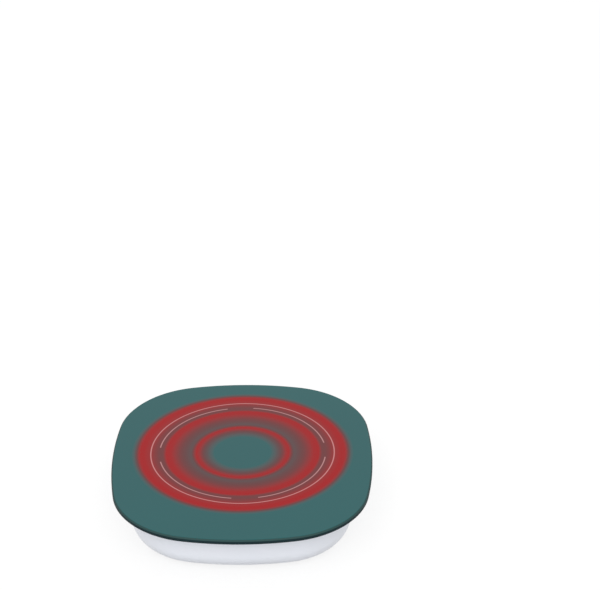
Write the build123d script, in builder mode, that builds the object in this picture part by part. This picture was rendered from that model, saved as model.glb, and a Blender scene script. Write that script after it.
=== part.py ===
from build123d import *
import os
from math import cos, radians, sin, tan

# Electric mug warmer: a glass-topped heating coaster on a shallow bowl-shaped housing.
# Frame: +Z up, front is -Y, origin under the centre of the glass on the table.

# ------------------------------------------------------------------ driving dimensions (mm)
# Glass plate: four shallow arcs joined by round corners
plate_width = 120.0
plate_depth = 132.0
side_arc_radius = 205.0
end_arc_radius = 131.0
corner_radius = 41.0
glass_thickness = 2.3
glass_bevel = 0.6
glass_back_bevel = 0.3

# Housing: a drafted bowl, closed by a flat tray that carries the glass
housing_height = 20.8
housing_inset = 7.2
housing_draft = 5.0
housing_bottom_radius = 10.0
wall = 2.0
tray_thickness = 1.8
tray_edge_radius = 0.4
parting_bevel = 0.25
tongue_height = 2.4
tongue_thickness = 1.2
tongue_clearance = 0.15

# Seal between glass and tray
gasket_thickness = 0.4
gasket_width = 2.0
gasket_edge_gap = 1.2

# Heater: a round stack pressed up against the glass
heater_side_gap = 5.8
spreader_thickness = 2.0
heater_opening_gap = 0.8
thermal_pad_margin = 1.0
mica_thickness = 0.4
mica_margin = 0.5
track_thickness = 0.3
track_margin = 1.5
outer_track_width = 6.0
middle_track_width = 8.5
inner_track_width = 9.0
outer_track_spacing = 3.0
inner_track_spacing = 4.0
track_gap = 4.0
track_bridge = 3.0
insulation_thickness = 3.0
pressure_plate_thickness = 1.0
ear_reach = 5.2
ear_radius = 2.6
ear_angles = (60.0, 120.0, 240.0, 300.0)

# Sensor window in the middle of the heater
window_radius = 9.0
carrier_gap = 0.3
carrier_width = 10.0
sensor_radius = 1.2
sensor_length = 7.0
fuse_radius = 1.9
fuse_length = 9.0
sensor_spacing = 6.0
groove_clearance = 0.05
clip_length = 27.0
clip_width = 8.0
clip_thickness = 0.8
rivet_radius = 1.0
rivet_head_radius = 1.8
rivet_head_height = 0.6
rivet_margin = 2.2

# Fasteners
fastener_clearance = 0.05
housing_screw_radius = 1.5
housing_screw_length = 12.0
housing_screw_head_radius = 2.8
housing_screw_head_height = 1.8
housing_screw_edge_x = 22.8
housing_screw_edge_y = 26.8
well_clearance = 0.4
screw_seat_depth = 4.0
screw_seat_thickness = 2.0
lower_boss_radius = 4.6
upper_boss_radius = 3.0
plate_screw_radius = 1.0
plate_screw_length = 5.0
plate_screw_head_radius = 1.9
plate_screw_head_height = 1.2
board_screw_radius = 1.0
board_screw_length = 5.4
board_screw_head_radius = 1.9
board_screw_head_height = 1.3
cross_recess_width = 0.5
cross_recess_depth = 0.7
pilot_extra = 0.6

# Feet
foot_radius = 5.5
foot_thickness = 2.0
foot_protrusion = 1.0
foot_edge_radius = 0.4
foot_clearance = 0.1
foot_edge_x = 28.0
foot_edge_y = 36.0

# Openings in the floor
vent_count = 7
vent_pitch = 5.0
vent_length = 18.0
vent_width = 2.0
vent_offset_y = -22.0
plate_recess_width = 44.0
plate_recess_depth = 22.0
plate_recess_sink = 0.3
plate_recess_corner = 2.0
plate_recess_offset_y = 18.0

# Control board
board_width = 62.0
board_depth = 40.0
board_thickness = 1.6
board_corner_radius = 1.5
board_hole_margin = 3.5
board_offset_y = 7.0
standoff_height = 3.0
standoff_radius = 2.4

# Power button in the right flank, on a side-acting switch
button_y = 8.0
button_length = 14.0
button_height = 5.0
button_proud = 1.4
button_travel = 1.0
button_gap = 0.3
button_edge_radius = 0.6
button_flange_margin = 1.4
button_flange_thickness = 1.2
button_dish_margin = 1.2
button_dish_depth = 0.3
button_flange_setback = 3.7
button_stem_radius = 2.2
plunger_axis_height = 4.6
plunger_radius = 1.2
plunger_collar_radius = 1.6
plunger_collar_thickness = 0.7
plunger_fit = 0.05
switch_depth = 4.5
switch_width = 6.2
switch_height = 6.7
switch_wall = 0.8
switch_to_button = 2.2
switch_cavity_clearance = 0.15
collar_gap = 0.1
dome_top_radius = 0.95
dome_thickness = 0.35

# Indicator light beside the button
indicator_y = 20.0
led_depth = 2.4
led_width = 3.2
led_height = 3.2
lens_radius = 1.5
lens_collar_radius = 2.1
lens_collar_thickness = 1.0
lens_collar_gap = 1.2
lens_proud = 0.3
lens_fit = 0.05
lens_gap = 0.3

# Power inlet in the rear wall
inlet_axis_height = 7.4
inlet_body_width = 9.0
inlet_body_height = 9.0
inlet_body_length = 13.0
inlet_nose_radius = 4.0
inlet_bore_radius = 2.85
inlet_bore_depth = 9.5
inlet_pin_radius = 1.0
inlet_pin_setback = 1.0
inlet_nose_recess = 0.2
inlet_pocket_clearance = 0.2
inlet_face_wall = 2.4
inlet_surround_width = 16.0
inlet_surround_height = 13.0
inlet_surround_radius = 2.0
inlet_surround_proud = 0.6
inlet_surround_edge_radius = 0.5
inlet_tail_length = 3.0
inlet_tail_radius = 0.5
inlet_fit = 0.05
contact_width = 1.6
contact_thickness = 0.4
contact_reach = 10.0

# Electronic parts on the board
transistor_size = (6.6, 9.6, 2.3)
transistor_place = (-6.0, -12.0)
chip_size = (5.0, 4.0, 1.5)
chip_place = (12.0, 6.0)
inductor_size = (7.0, 7.0, 4.2)
inductor_place = (16.0, -9.0)
capacitor_radius = 3.15
capacitor_height = 5.6
capacitor_place = (4.0, -12.0)

# Wiring
power_wire = 1.2
signal_wire = 0.8
wire_level = 12.0
wire_hole_clearance = 0.4
wire_exit = 2.8
wire_landing = 4.6
bend_share = 0.45

# ------------------------------------------------------------------ levels, from the table up
shell_bottom = foot_protrusion
floor_top = shell_bottom + wall
housing_top = shell_bottom + housing_height
parting_z = housing_top - tray_thickness
glass_bottom = housing_top + gasket_thickness
spreader_bottom = housing_top - spreader_thickness
upper_mica_bottom = spreader_bottom - mica_thickness
track_bottom = upper_mica_bottom - track_thickness
lower_mica_bottom = track_bottom - mica_thickness
insulation_bottom = lower_mica_bottom - insulation_thickness
pressure_plate_bottom = insulation_bottom - pressure_plate_thickness
clip_bottom = pressure_plate_bottom - clip_thickness
board_bottom = floor_top + standoff_height
board_top = board_bottom + board_thickness
screw_seat_z = shell_bottom + screw_seat_depth
lower_boss_top = screw_seat_z + screw_seat_thickness
button_z = board_top + plunger_axis_height
indicator_z = board_top + led_height / 2
inlet_z = shell_bottom + inlet_axis_height


# ------------------------------------------------------------------ heater size and place
# The heater fills the housing's width, and lies as near to the rear wall as to the sides.
spreader_radius = plate_width / 2 - housing_inset - wall - heater_side_gap
heater_offset_y = (plate_depth - plate_width) / 2
heater_centre = (0, heater_offset_y)
outer_track_edge = spreader_radius - track_margin
outer_track = (outer_track_edge - outer_track_width, outer_track_edge)
middle_track_edge = outer_track[0] - outer_track_spacing
middle_track = (middle_track_edge - middle_track_width, middle_track_edge)
inner_track_edge = middle_track[0] - inner_track_spacing
inner_track = (inner_track_edge - inner_track_width, inner_track_edge)


def wall_inset(height):
    """Distance from the glass edge in to the outer face of the housing at a height."""
    return housing_inset + (glass_bottom - height) * tan(radians(housing_draft))


def around_heater(radius, angle):
    """Point on a circle about the heater's centre."""
    turn = radians(angle)
    return (radius * cos(turn), heater_offset_y + radius * sin(turn))


# ------------------------------------------------------------------ places in plan
terminal_drop = (track_gap + track_bridge) / 2
outer_terminal = (-(sum(outer_track) / 2), heater_offset_y + terminal_drop)
inner_terminal = (-(sum(inner_track) / 2), heater_offset_y - terminal_drop)
ear_places = [around_heater(spreader_radius + ear_reach, angle) for angle in ear_angles]

screw_x = plate_width / 2 - housing_screw_edge_x
screw_y = plate_depth / 2 - housing_screw_edge_y
foot_x = plate_width / 2 - foot_edge_x
foot_y = plate_depth / 2 - foot_edge_y

flank_x = plate_width / 2 - wall_inset(button_z)
button_flange_outer = flank_x - button_flange_setback
button_flange_inner = button_flange_outer - button_flange_thickness
switch_face_x = button_flange_inner - button_travel - switch_to_button
plunger_tip_x = switch_face_x + switch_to_button
board_x = switch_face_x - board_width / 2
board_y = board_offset_y
board_hole_x = board_width - 2 * board_hole_margin
board_hole_y = board_depth - 2 * board_hole_margin

inlet_top_inset = wall_inset(inlet_z + inlet_surround_height / 2)
inlet_face_y = plate_depth / 2 - inlet_top_inset + inlet_surround_proud
inlet_body_front = inlet_face_y - inlet_face_wall - inlet_pocket_clearance
inlet_body_back = inlet_body_front - inlet_body_length
inlet_nose_front = inlet_face_y - inlet_nose_recess
inlet_bore_back = inlet_nose_front - inlet_bore_depth
inlet_tail_end = inlet_body_back - inlet_tail_length
contact_x = inlet_bore_radius + contact_thickness

sensor_x = -sensor_spacing / 2
fuse_x = sensor_spacing / 2
sensor_z = lower_mica_bottom - sensor_radius
fuse_z = lower_mica_bottom - fuse_radius


# ------------------------------------------------------------------ shared shapes
def rounded_outline(inset=0.0):
    """The glass outline moved inward: two side arcs, two end arcs and four round corners."""
    half_width = plate_width / 2 - inset
    half_depth = plate_depth / 2 - inset
    side_radius = side_arc_radius - inset
    end_radius = end_arc_radius - inset
    with BuildSketch(mode=Mode.PRIVATE) as outline:
        with Locations((half_width - side_radius, 0)):
            Circle(side_radius)
        with Locations((side_radius - half_width, 0)):
            Circle(side_radius, mode=Mode.INTERSECT)
        with Locations((0, half_depth - end_radius)):
            Circle(end_radius, mode=Mode.INTERSECT)
        with Locations((0, end_radius - half_depth)):
            Circle(end_radius, mode=Mode.INTERSECT)
        corners = outline.vertices().filter_by(lambda point: abs(point.X * point.Y) > 1)
        fillet(corners, corner_radius - inset)
    return outline.sketch


def drafted_bowl(thickness, bottom, edge_radius):
    """Solid bowl up to the parting line, a wall thickness inside the housing's outer face."""
    with BuildPart(mode=Mode.PRIVATE) as bowl:
        with BuildSketch(Plane.XY.offset(parting_z)):
            add(rounded_outline(wall_inset(parting_z) + thickness))
        extrude(amount=bottom - parting_z, taper=housing_draft)
        fillet(bowl.faces().sort_by(Axis.Z)[0].edges(), edge_radius)
    return bowl.part


def disc(radius, bottom, thickness):
    """Flat disc about the heater's centre."""
    with BuildPart(mode=Mode.PRIVATE) as plate:
        with BuildSketch(Plane.XY.offset(bottom)):
            with Locations(heater_centre):
                Circle(radius)
        extrude(amount=thickness)
    return plate.part


def screw(radius, length, head_radius, head_height):
    """Pan-head screw, shank up from the origin and head below it, with a cross recess."""
    with BuildPart(mode=Mode.PRIVATE) as body:
        Cylinder(radius, length, align=(Align.CENTER, Align.CENTER, Align.MIN))
        chamfer(body.edges().sort_by(Axis.Z)[-1], radius / 3)
        Cylinder(head_radius, head_height, align=(Align.CENTER, Align.CENTER, Align.MAX))
        fillet(body.edges().sort_by(Axis.Z)[0], head_height / 3)
        with BuildSketch(Plane.XY.offset(-head_height)):
            Rectangle(head_radius * 1.3, cross_recess_width)
            Rectangle(cross_recess_width, head_radius * 1.3)
        extrude(amount=cross_recess_depth, mode=Mode.SUBTRACT)
    return body.part


def wire(points, diameter):
    """Round wire of straight runs, with each bend as large as its two runs allow."""
    corners = [Vector(*point) for point in points]
    radii = []
    for before, corner, after in zip(corners, corners[1:], corners[2:]):
        run_in = corner - before
        run_out = after - corner
        turn = radians(run_in.get_angle(run_out))
        radii.append(bend_share * min(run_in.length, run_out.length) / tan(turn / 2))
    with BuildPart(mode=Mode.PRIVATE) as lead:
        with BuildLine() as path:
            FilletPolyline(*points, radius=radii)
        with BuildSketch(Plane(origin=path.line @ 0, z_dir=path.line % 0)):
            Circle(diameter / 2)
        sweep()
    return lead.part


def chip_body(size, place):
    """Moulded electronic part standing on the control board."""
    with BuildPart(mode=Mode.PRIVATE) as body:
        with BuildSketch(Plane.XY.offset(board_top)):
            with Locations((board_x + place[0], board_y + place[1])):
                Rectangle(size[0], size[1])
        extrude(amount=size[2])
        chamfer(body.edges().group_by(Axis.Z)[-1], min(size) * 0.12)
    return body.part


os.makedirs("parts", exist_ok=True)

# ------------------------------------------------------------------ glass and its seal
with BuildPart() as glass_plate:
    with BuildSketch(Plane.XY.offset(glass_bottom)):
        add(rounded_outline())
    extrude(amount=glass_thickness)
    chamfer(glass_plate.faces().sort_by(Axis.Z)[-1].edges(), glass_bevel)
    chamfer(glass_plate.faces().sort_by(Axis.Z)[0].edges(), glass_back_bevel)
glass_plate.part.label = "glass_plate"
export_step(glass_plate.part, "parts/glass_plate.step")

with BuildPart() as glass_gasket:
    with BuildSketch(Plane.XY.offset(housing_top)):
        add(rounded_outline(housing_inset + gasket_edge_gap))
        add(rounded_outline(housing_inset + gasket_edge_gap + gasket_width), mode=Mode.SUBTRACT)
    extrude(amount=gasket_thickness)
glass_gasket.part.label = "glass_gasket"
export_step(glass_gasket.part, "parts/glass_gasket.step")

# ------------------------------------------------------------------ heater stack, top to bottom
with BuildPart() as thermal_pad:
    add(disc(spreader_radius - thermal_pad_margin, housing_top, gasket_thickness))
thermal_pad.part.label = "thermal_pad"
export_step(thermal_pad.part, "parts/thermal_pad.step")

with BuildPart() as heat_spreader:
    add(disc(spreader_radius, spreader_bottom, spreader_thickness))
    fillet(heat_spreader.edges().sort_by(Axis.Z)[-1], spreader_thickness / 6)
heat_spreader.part.label = "heat_spreader"
export_step(heat_spreader.part, "parts/heat_spreader.step")

with BuildPart() as mica_upper:
    add(disc(spreader_radius - mica_margin, upper_mica_bottom, mica_thickness))
mica_upper.part.label = "mica_upper"
export_step(mica_upper.part, "parts/mica_upper.step")

# One foil track: three open rings, joined in turn on alternate sides of the slot.
with BuildPart() as heating_element:
    with BuildSketch(Plane.XY.offset(track_bottom)):
        with Locations(heater_centre):
            for inner, outer in (outer_track, middle_track, inner_track):
                Circle(outer)
                Circle(inner, mode=Mode.SUBTRACT)
            Rectangle(
                2 * outer_track[1], track_gap, align=(Align.MAX, Align.CENTER), mode=Mode.SUBTRACT
            )
        for outside, inside, side in ((outer_track, middle_track, -1), (middle_track, inner_track, 1)):
            bridge_x = -(outside[0] + inside[1]) / 2
            bridge_length = outside[0] - inside[1] + track_bridge
            with Locations((bridge_x, heater_offset_y + side * terminal_drop)):
                Rectangle(bridge_length, track_bridge)
    extrude(amount=track_thickness)
heating_element.part.label = "heating_element"
export_step(heating_element.part, "parts/heating_element.step")

with BuildPart() as mica_lower:
    add(disc(spreader_radius - mica_margin, lower_mica_bottom, mica_thickness))
    with Locations((*outer_terminal, lower_mica_bottom), (*inner_terminal, lower_mica_bottom)):
        Cylinder(power_wire / 2 + wire_hole_clearance, 2 * mica_thickness, mode=Mode.SUBTRACT)
mica_lower.part.label = "mica_lower"
export_step(mica_lower.part, "parts/mica_lower.step")

with BuildPart() as insulation_pad:
    add(disc(spreader_radius, insulation_bottom, insulation_thickness))
    with BuildSketch(Plane.XY.offset(insulation_bottom)):
        with Locations(heater_centre):
            Circle(window_radius)
        with Locations(outer_terminal, inner_terminal):
            Circle(power_wire / 2 + wire_hole_clearance)
    extrude(amount=insulation_thickness, mode=Mode.SUBTRACT)
insulation_pad.part.label = "insulation_pad"
export_step(insulation_pad.part, "parts/insulation_pad.step")

with BuildPart() as pressure_plate:
    with BuildSketch(Plane.XY.offset(pressure_plate_bottom)):
        with Locations(heater_centre):
            Circle(spreader_radius)
        for angle, place in zip(ear_angles, ear_places):
            with Locations(place):
                Circle(ear_radius)
            with Locations(Location((*heater_centre, 0), angle)):
                Rectangle(
                    spreader_radius + ear_reach, 2 * ear_radius, align=(Align.MIN, Align.CENTER)
                )
        with Locations(heater_centre):
            Circle(window_radius, mode=Mode.SUBTRACT)
            with GridLocations(clip_length - 2 * rivet_margin, 0, 2, 1):
                Circle(rivet_radius + fastener_clearance, mode=Mode.SUBTRACT)
        with Locations(outer_terminal, inner_terminal):
            Circle(power_wire / 2 + wire_hole_clearance, mode=Mode.SUBTRACT)
        with Locations(*ear_places):
            Circle(plate_screw_radius + fastener_clearance, mode=Mode.SUBTRACT)
    extrude(amount=pressure_plate_thickness)
pressure_plate.part.label = "pressure_plate"
export_step(pressure_plate.part, "parts/pressure_plate.step")

with BuildPart() as pressure_plate_screws:
    plate_screw = screw(
        plate_screw_radius, plate_screw_length, plate_screw_head_radius, plate_screw_head_height
    )
    with Locations(*[(*place, pressure_plate_bottom) for place in ear_places]):
        add(plate_screw)
pressure_plate_screws.part.label = "pressure_plate_screws"
export_step(pressure_plate_screws.part, "parts/pressure_plate_screws.step")

# ------------------------------------------------------------------ sensors in the heater's window
# Rubber block with two open grooves that holds the sensor and the fuse up against the heater
with BuildPart() as sensor_carrier:
    with BuildSketch(Plane.XY.offset(pressure_plate_bottom)):
        with Locations(heater_centre):
            Circle(window_radius - carrier_gap)
            Rectangle(2 * window_radius, carrier_width, mode=Mode.INTERSECT)
    extrude(amount=lower_mica_bottom - pressure_plate_bottom)
    for groove_x, groove_z, radius in ((sensor_x, sensor_z, sensor_radius), (fuse_x, fuse_z, fuse_radius)):
        with BuildSketch(Plane.XZ.offset(-heater_offset_y)):
            with Locations((groove_x, groove_z)):
                Circle(radius + groove_clearance)
                Rectangle(
                    2 * (radius + groove_clearance), 2 * radius, align=(Align.CENTER, Align.MIN)
                )
        extrude(amount=carrier_width, both=True, mode=Mode.SUBTRACT)
sensor_carrier.part.label = "sensor_carrier"
export_step(sensor_carrier.part, "parts/sensor_carrier.step")

with BuildPart() as sensor_clip:
    with BuildSketch(Plane.XY.offset(clip_bottom)):
        with Locations(heater_centre):
            SlotOverall(clip_length, clip_width)
            with GridLocations(clip_length - 2 * rivet_margin, 0, 2, 1):
                Circle(rivet_radius + fastener_clearance, mode=Mode.SUBTRACT)
    extrude(amount=clip_thickness)
sensor_clip.part.label = "sensor_clip"
export_step(sensor_clip.part, "parts/sensor_clip.step")

with BuildPart() as clip_rivets:
    with Locations((*heater_centre, clip_bottom)):
        with GridLocations(clip_length - 2 * rivet_margin, 0, 2, 1):
            Cylinder(
                rivet_radius,
                clip_thickness + pressure_plate_thickness,
                align=(Align.CENTER, Align.CENTER, Align.MIN),
            )
            Cylinder(
                rivet_head_radius, rivet_head_height, align=(Align.CENTER, Align.CENTER, Align.MAX)
            )
    fillet(clip_rivets.edges().group_by(Axis.Z)[0], rivet_head_height / 2)
clip_rivets.part.label = "clip_rivets"
export_step(clip_rivets.part, "parts/clip_rivets.step")

with BuildPart() as temperature_sensor:
    with Locations((sensor_x, heater_offset_y, sensor_z)):
        Cylinder(sensor_radius, sensor_length, rotation=(90, 0, 0))
    fillet(temperature_sensor.edges().filter_by(GeomType.CIRCLE), sensor_radius / 3)
temperature_sensor.part.label = "temperature_sensor"
export_step(temperature_sensor.part, "parts/temperature_sensor.step")

with BuildPart() as thermal_fuse:
    with Locations((fuse_x, heater_offset_y, fuse_z)):
        Cylinder(fuse_radius, fuse_length, rotation=(90, 0, 0))
    chamfer(thermal_fuse.edges().filter_by(GeomType.CIRCLE), fuse_radius / 4)
thermal_fuse.part.label = "thermal_fuse"
export_step(thermal_fuse.part, "parts/thermal_fuse.step")

# ------------------------------------------------------------------ wiring
sensor_end_y = heater_offset_y + sensor_length / 2
fuse_rear_y = heater_offset_y + fuse_length / 2
fuse_front_y = heater_offset_y - fuse_length / 2
rear_drop_y = fuse_rear_y + wire_exit
front_drop_y = fuse_front_y - wire_exit

with BuildPart() as heater_lead:
    board_end_x = board_x - board_width / 2 + board_hole_margin + power_wire
    add(
        wire(
            [
                (*outer_terminal, track_bottom),
                (*outer_terminal, wire_level),
                (board_end_x, outer_terminal[1], wire_level),
                (board_end_x, outer_terminal[1], board_top),
            ],
            power_wire,
        )
    )
heater_lead.part.label = "heater_lead"
export_step(heater_lead.part, "parts/heater_lead.step")

with BuildPart() as fuse_leads:
    add(
        wire(
            [
                (*inner_terminal, track_bottom),
                (*inner_terminal, wire_level),
                (fuse_x, front_drop_y, wire_level),
                (fuse_x, front_drop_y, fuse_z),
                (fuse_x, fuse_front_y, fuse_z),
            ],
            power_wire,
        )
    )
    add(
        wire(
            [
                (fuse_x, fuse_rear_y, fuse_z),
                (fuse_x, rear_drop_y, fuse_z),
                (fuse_x, rear_drop_y, board_top),
            ],
            power_wire,
        )
    )
fuse_leads.part.label = "fuse_leads"
export_step(fuse_leads.part, "parts/fuse_leads.step")

with BuildPart() as sensor_leads:
    for side in (-1, 1):
        lead_x = sensor_x + side * sensor_radius / 2
        add(
            wire(
                [
                    (lead_x, sensor_end_y, sensor_z),
                    (lead_x, rear_drop_y, sensor_z),
                    (lead_x, rear_drop_y, board_top),
                ],
                signal_wire,
            )
        )
sensor_leads.part.label = "sensor_leads"
export_step(sensor_leads.part, "parts/sensor_leads.step")

with BuildPart() as inlet_leads:
    landing_y = board_y + board_depth / 2 - board_hole_margin
    for lead_x in (0, contact_x):
        add(
            wire(
                [
                    (lead_x, inlet_tail_end, inlet_z),
                    (lead_x, inlet_tail_end - wire_landing, inlet_z),
                    (lead_x, landing_y + wire_landing, wire_level),
                    (lead_x, landing_y, wire_level),
                    (lead_x, landing_y, board_top),
                ],
                power_wire,
            )
        )
inlet_leads.part.label = "inlet_leads"
export_step(inlet_leads.part, "parts/inlet_leads.step")

# ------------------------------------------------------------------ tray under the glass
with BuildPart() as upper_housing:
    with BuildSketch(Plane.XY.offset(housing_top)):
        add(rounded_outline(wall_inset(housing_top)))
    extrude(amount=-tray_thickness, taper=housing_draft)
    fillet(upper_housing.faces().sort_by(Axis.Z)[-1].edges(), tray_edge_radius)
    chamfer(upper_housing.faces().sort_by(Axis.Z)[0].edges(), parting_bevel)
    tongue_inset = wall_inset(parting_z - tongue_height) + wall + tongue_clearance
    with BuildSketch(Plane.XY.offset(parting_z - tongue_height)):
        add(rounded_outline(tongue_inset))
        add(rounded_outline(tongue_inset + tongue_thickness), mode=Mode.SUBTRACT)
    extrude(amount=tongue_height + tray_thickness / 2)
    with Locations((0, 0, parting_z)):
        with GridLocations(2 * screw_x, 2 * screw_y, 2, 2):
            Cylinder(
                upper_boss_radius,
                parting_z - lower_boss_top,
                align=(Align.CENTER, Align.CENTER, Align.MAX),
            )
    with Locations(*[(*place, parting_z) for place in ear_places]):
        Cylinder(
            ear_radius, parting_z - insulation_bottom, align=(Align.CENTER, Align.CENTER, Align.MAX)
        )
    with Locations((*heater_centre, insulation_bottom)):
        Cylinder(
            spreader_radius + heater_opening_gap,
            housing_top,
            align=(Align.CENTER, Align.CENTER, Align.MIN),
            mode=Mode.SUBTRACT,
        )
    with Locations((0, 0, lower_boss_top)):
        with GridLocations(2 * screw_x, 2 * screw_y, 2, 2):
            Cylinder(
                housing_screw_radius + fastener_clearance,
                housing_screw_length - screw_seat_thickness + pilot_extra,
                align=(Align.CENTER, Align.CENTER, Align.MIN),
                mode=Mode.SUBTRACT,
            )
    with Locations(*[(*place, insulation_bottom) for place in ear_places]):
        Cylinder(
            plate_screw_radius + fastener_clearance,
            plate_screw_length - pressure_plate_thickness + pilot_extra,
            align=(Align.CENTER, Align.CENTER, Align.MIN),
            mode=Mode.SUBTRACT,
        )
upper_housing.part.label = "upper_housing"
export_step(upper_housing.part, "parts/upper_housing.step")

# ------------------------------------------------------------------ bowl
# The hollow of the bowl: everything inside the wall except the posts that stand on the floor
with BuildPart() as hollow:
    add(drafted_bowl(wall, floor_top, housing_bottom_radius - wall))
    with Locations((0, 0, floor_top)):
        with GridLocations(2 * screw_x, 2 * screw_y, 2, 2):
            Cylinder(
                lower_boss_radius,
                lower_boss_top - floor_top,
                align=(Align.CENTER, Align.CENTER, Align.MIN),
                mode=Mode.SUBTRACT,
            )
    with Locations((board_x, board_y, floor_top)):
        with GridLocations(board_hole_x, board_hole_y, 2, 2):
            Cylinder(
                standoff_radius,
                standoff_height,
                align=(Align.CENTER, Align.CENTER, Align.MIN),
                mode=Mode.SUBTRACT,
            )

with BuildPart() as lower_housing:
    add(drafted_bowl(0, shell_bottom, housing_bottom_radius))
    chamfer(lower_housing.faces().sort_by(Axis.Z)[-1].edges(), parting_bevel)
    with BuildSketch(Plane.XZ.offset(-inlet_face_y)):
        with Locations((0, inlet_z)):
            RectangleRounded(inlet_surround_width, inlet_surround_height, inlet_surround_radius)
    extrude(amount=inlet_body_length)
    inlet_face = lower_housing.faces().filter_by(Axis.Y).sort_by(Axis.Y)[-1]
    fillet(inlet_face.edges(), inlet_surround_edge_radius)
    add(hollow.part, mode=Mode.SUBTRACT)
    # Inlet pocket from the inside, and the round hole for its nose
    with BuildSketch(Plane.XZ.offset(inlet_face_wall - inlet_face_y)):
        with Locations((0, inlet_z)):
            Rectangle(
                inlet_body_width + 2 * inlet_pocket_clearance,
                inlet_body_height + 2 * inlet_pocket_clearance,
            )
    extrude(amount=inlet_body_length + 2 * inlet_pocket_clearance, mode=Mode.SUBTRACT)
    with BuildSketch(Plane.XZ.offset(-inlet_face_y)):
        with Locations((0, inlet_z)):
            Circle(inlet_nose_radius + inlet_pocket_clearance / 2)
    extrude(amount=inlet_body_length, mode=Mode.SUBTRACT)
    # Button aperture and light hole in the right flank
    with BuildSketch(Plane.YZ.offset(button_flange_inner)):
        with Locations((button_y, button_z)):
            SlotOverall(button_length + 2 * button_gap, button_height + 2 * button_gap)
        with Locations((indicator_y, indicator_z)):
            Circle(lens_radius + lens_fit)
    extrude(amount=plate_width / 2 - button_flange_inner, mode=Mode.SUBTRACT)
    # Screw wells and foot recesses from below
    with Locations((0, 0, 0)):
        with GridLocations(2 * screw_x, 2 * screw_y, 2, 2):
            Cylinder(
                housing_screw_head_radius + well_clearance,
                screw_seat_z,
                align=(Align.CENTER, Align.CENTER, Align.MIN),
                mode=Mode.SUBTRACT,
            )
            Cylinder(
                housing_screw_radius + fastener_clearance,
                lower_boss_top,
                align=(Align.CENTER, Align.CENTER, Align.MIN),
                mode=Mode.SUBTRACT,
            )
        with GridLocations(2 * foot_x, 2 * foot_y, 2, 2):
            Cylinder(
                foot_radius + foot_clearance,
                foot_thickness,
                align=(Align.CENTER, Align.CENTER, Align.MIN),
                mode=Mode.SUBTRACT,
            )
    # Pilot holes in the standoffs
    with Locations((board_x, board_y, board_bottom)):
        with GridLocations(board_hole_x, board_hole_y, 2, 2):
            Cylinder(
                board_screw_radius + fastener_clearance,
                board_screw_length - board_thickness + pilot_extra / 3,
                align=(Align.CENTER, Align.CENTER, Align.MAX),
                mode=Mode.SUBTRACT,
            )
    # Vent slots and a shallow plain recess in the underside
    with BuildSketch(Plane.XY.offset(shell_bottom)):
        with Locations((0, vent_offset_y)):
            with GridLocations(vent_pitch, 0, vent_count, 1):
                SlotOverall(vent_length, vent_width, rotation=90)
    extrude(amount=wall, mode=Mode.SUBTRACT)
    with BuildSketch(Plane.XY.offset(shell_bottom)):
        with Locations((0, plate_recess_offset_y)):
            RectangleRounded(plate_recess_width, plate_recess_depth, plate_recess_corner)
    extrude(amount=plate_recess_sink, mode=Mode.SUBTRACT)
lower_housing.part.label = "lower_housing"
export_step(lower_housing.part, "parts/lower_housing.step")

with BuildPart() as housing_screws:
    housing_screw = screw(
        housing_screw_radius,
        housing_screw_length,
        housing_screw_head_radius,
        housing_screw_head_height,
    )
    with Locations((0, 0, screw_seat_z)):
        with GridLocations(2 * screw_x, 2 * screw_y, 2, 2):
            add(housing_screw)
housing_screws.part.label = "housing_screws"
export_step(housing_screws.part, "parts/housing_screws.step")

for row, side_y in (("front", -1), ("rear", 1)):
    for column, side_x in (("left", -1), ("right", 1)):
        with BuildPart() as foot:
            with Locations((side_x * foot_x, side_y * foot_y, 0)):
                Cylinder(
                    foot_radius, foot_thickness, align=(Align.CENTER, Align.CENTER, Align.MIN)
                )
            fillet(foot.edges().sort_by(Axis.Z)[0], foot_edge_radius)
        foot.part.label = f"foot_{row}_{column}"
        export_step(foot.part, f"parts/{foot.part.label}.step")

# ------------------------------------------------------------------ control board
with BuildPart() as control_board:
    with BuildSketch(Plane.XY.offset(board_bottom)):
        with Locations((board_x, board_y)):
            RectangleRounded(board_width, board_depth, board_corner_radius)
            with GridLocations(board_hole_x, board_hole_y, 2, 2):
                Circle(board_screw_radius + fastener_clearance, mode=Mode.SUBTRACT)
    extrude(amount=board_thickness)
control_board.part.label = "control_board"
export_step(control_board.part, "parts/control_board.step")

with BuildPart() as board_screws:
    board_screw = screw(
        board_screw_radius, board_screw_length, board_screw_head_radius, board_screw_head_height
    )
    with Locations((board_x, board_y, board_top)):
        with GridLocations(board_hole_x, board_hole_y, 2, 2):
            add(board_screw.rotate(Axis.X, 180))
board_screws.part.label = "board_screws"
export_step(board_screws.part, "parts/board_screws.step")

with BuildPart() as power_transistor:
    add(chip_body(transistor_size, transistor_place))
power_transistor.part.label = "power_transistor"
export_step(power_transistor.part, "parts/power_transistor.step")

with BuildPart() as controller_chip:
    add(chip_body(chip_size, chip_place))
controller_chip.part.label = "controller_chip"
export_step(controller_chip.part, "parts/controller_chip.step")

with BuildPart() as buck_inductor:
    add(chip_body(inductor_size, inductor_place))
buck_inductor.part.label = "buck_inductor"
export_step(buck_inductor.part, "parts/buck_inductor.step")

with BuildPart() as smoothing_capacitor:
    with Locations((board_x + capacitor_place[0], board_y + capacitor_place[1], board_top)):
        Cylinder(
            capacitor_radius, capacitor_height, align=(Align.CENTER, Align.CENTER, Align.MIN)
        )
    fillet(smoothing_capacitor.edges().sort_by(Axis.Z)[-1], capacitor_radius / 6)
smoothing_capacitor.part.label = "smoothing_capacitor"
export_step(smoothing_capacitor.part, "parts/smoothing_capacitor.step")

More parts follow.
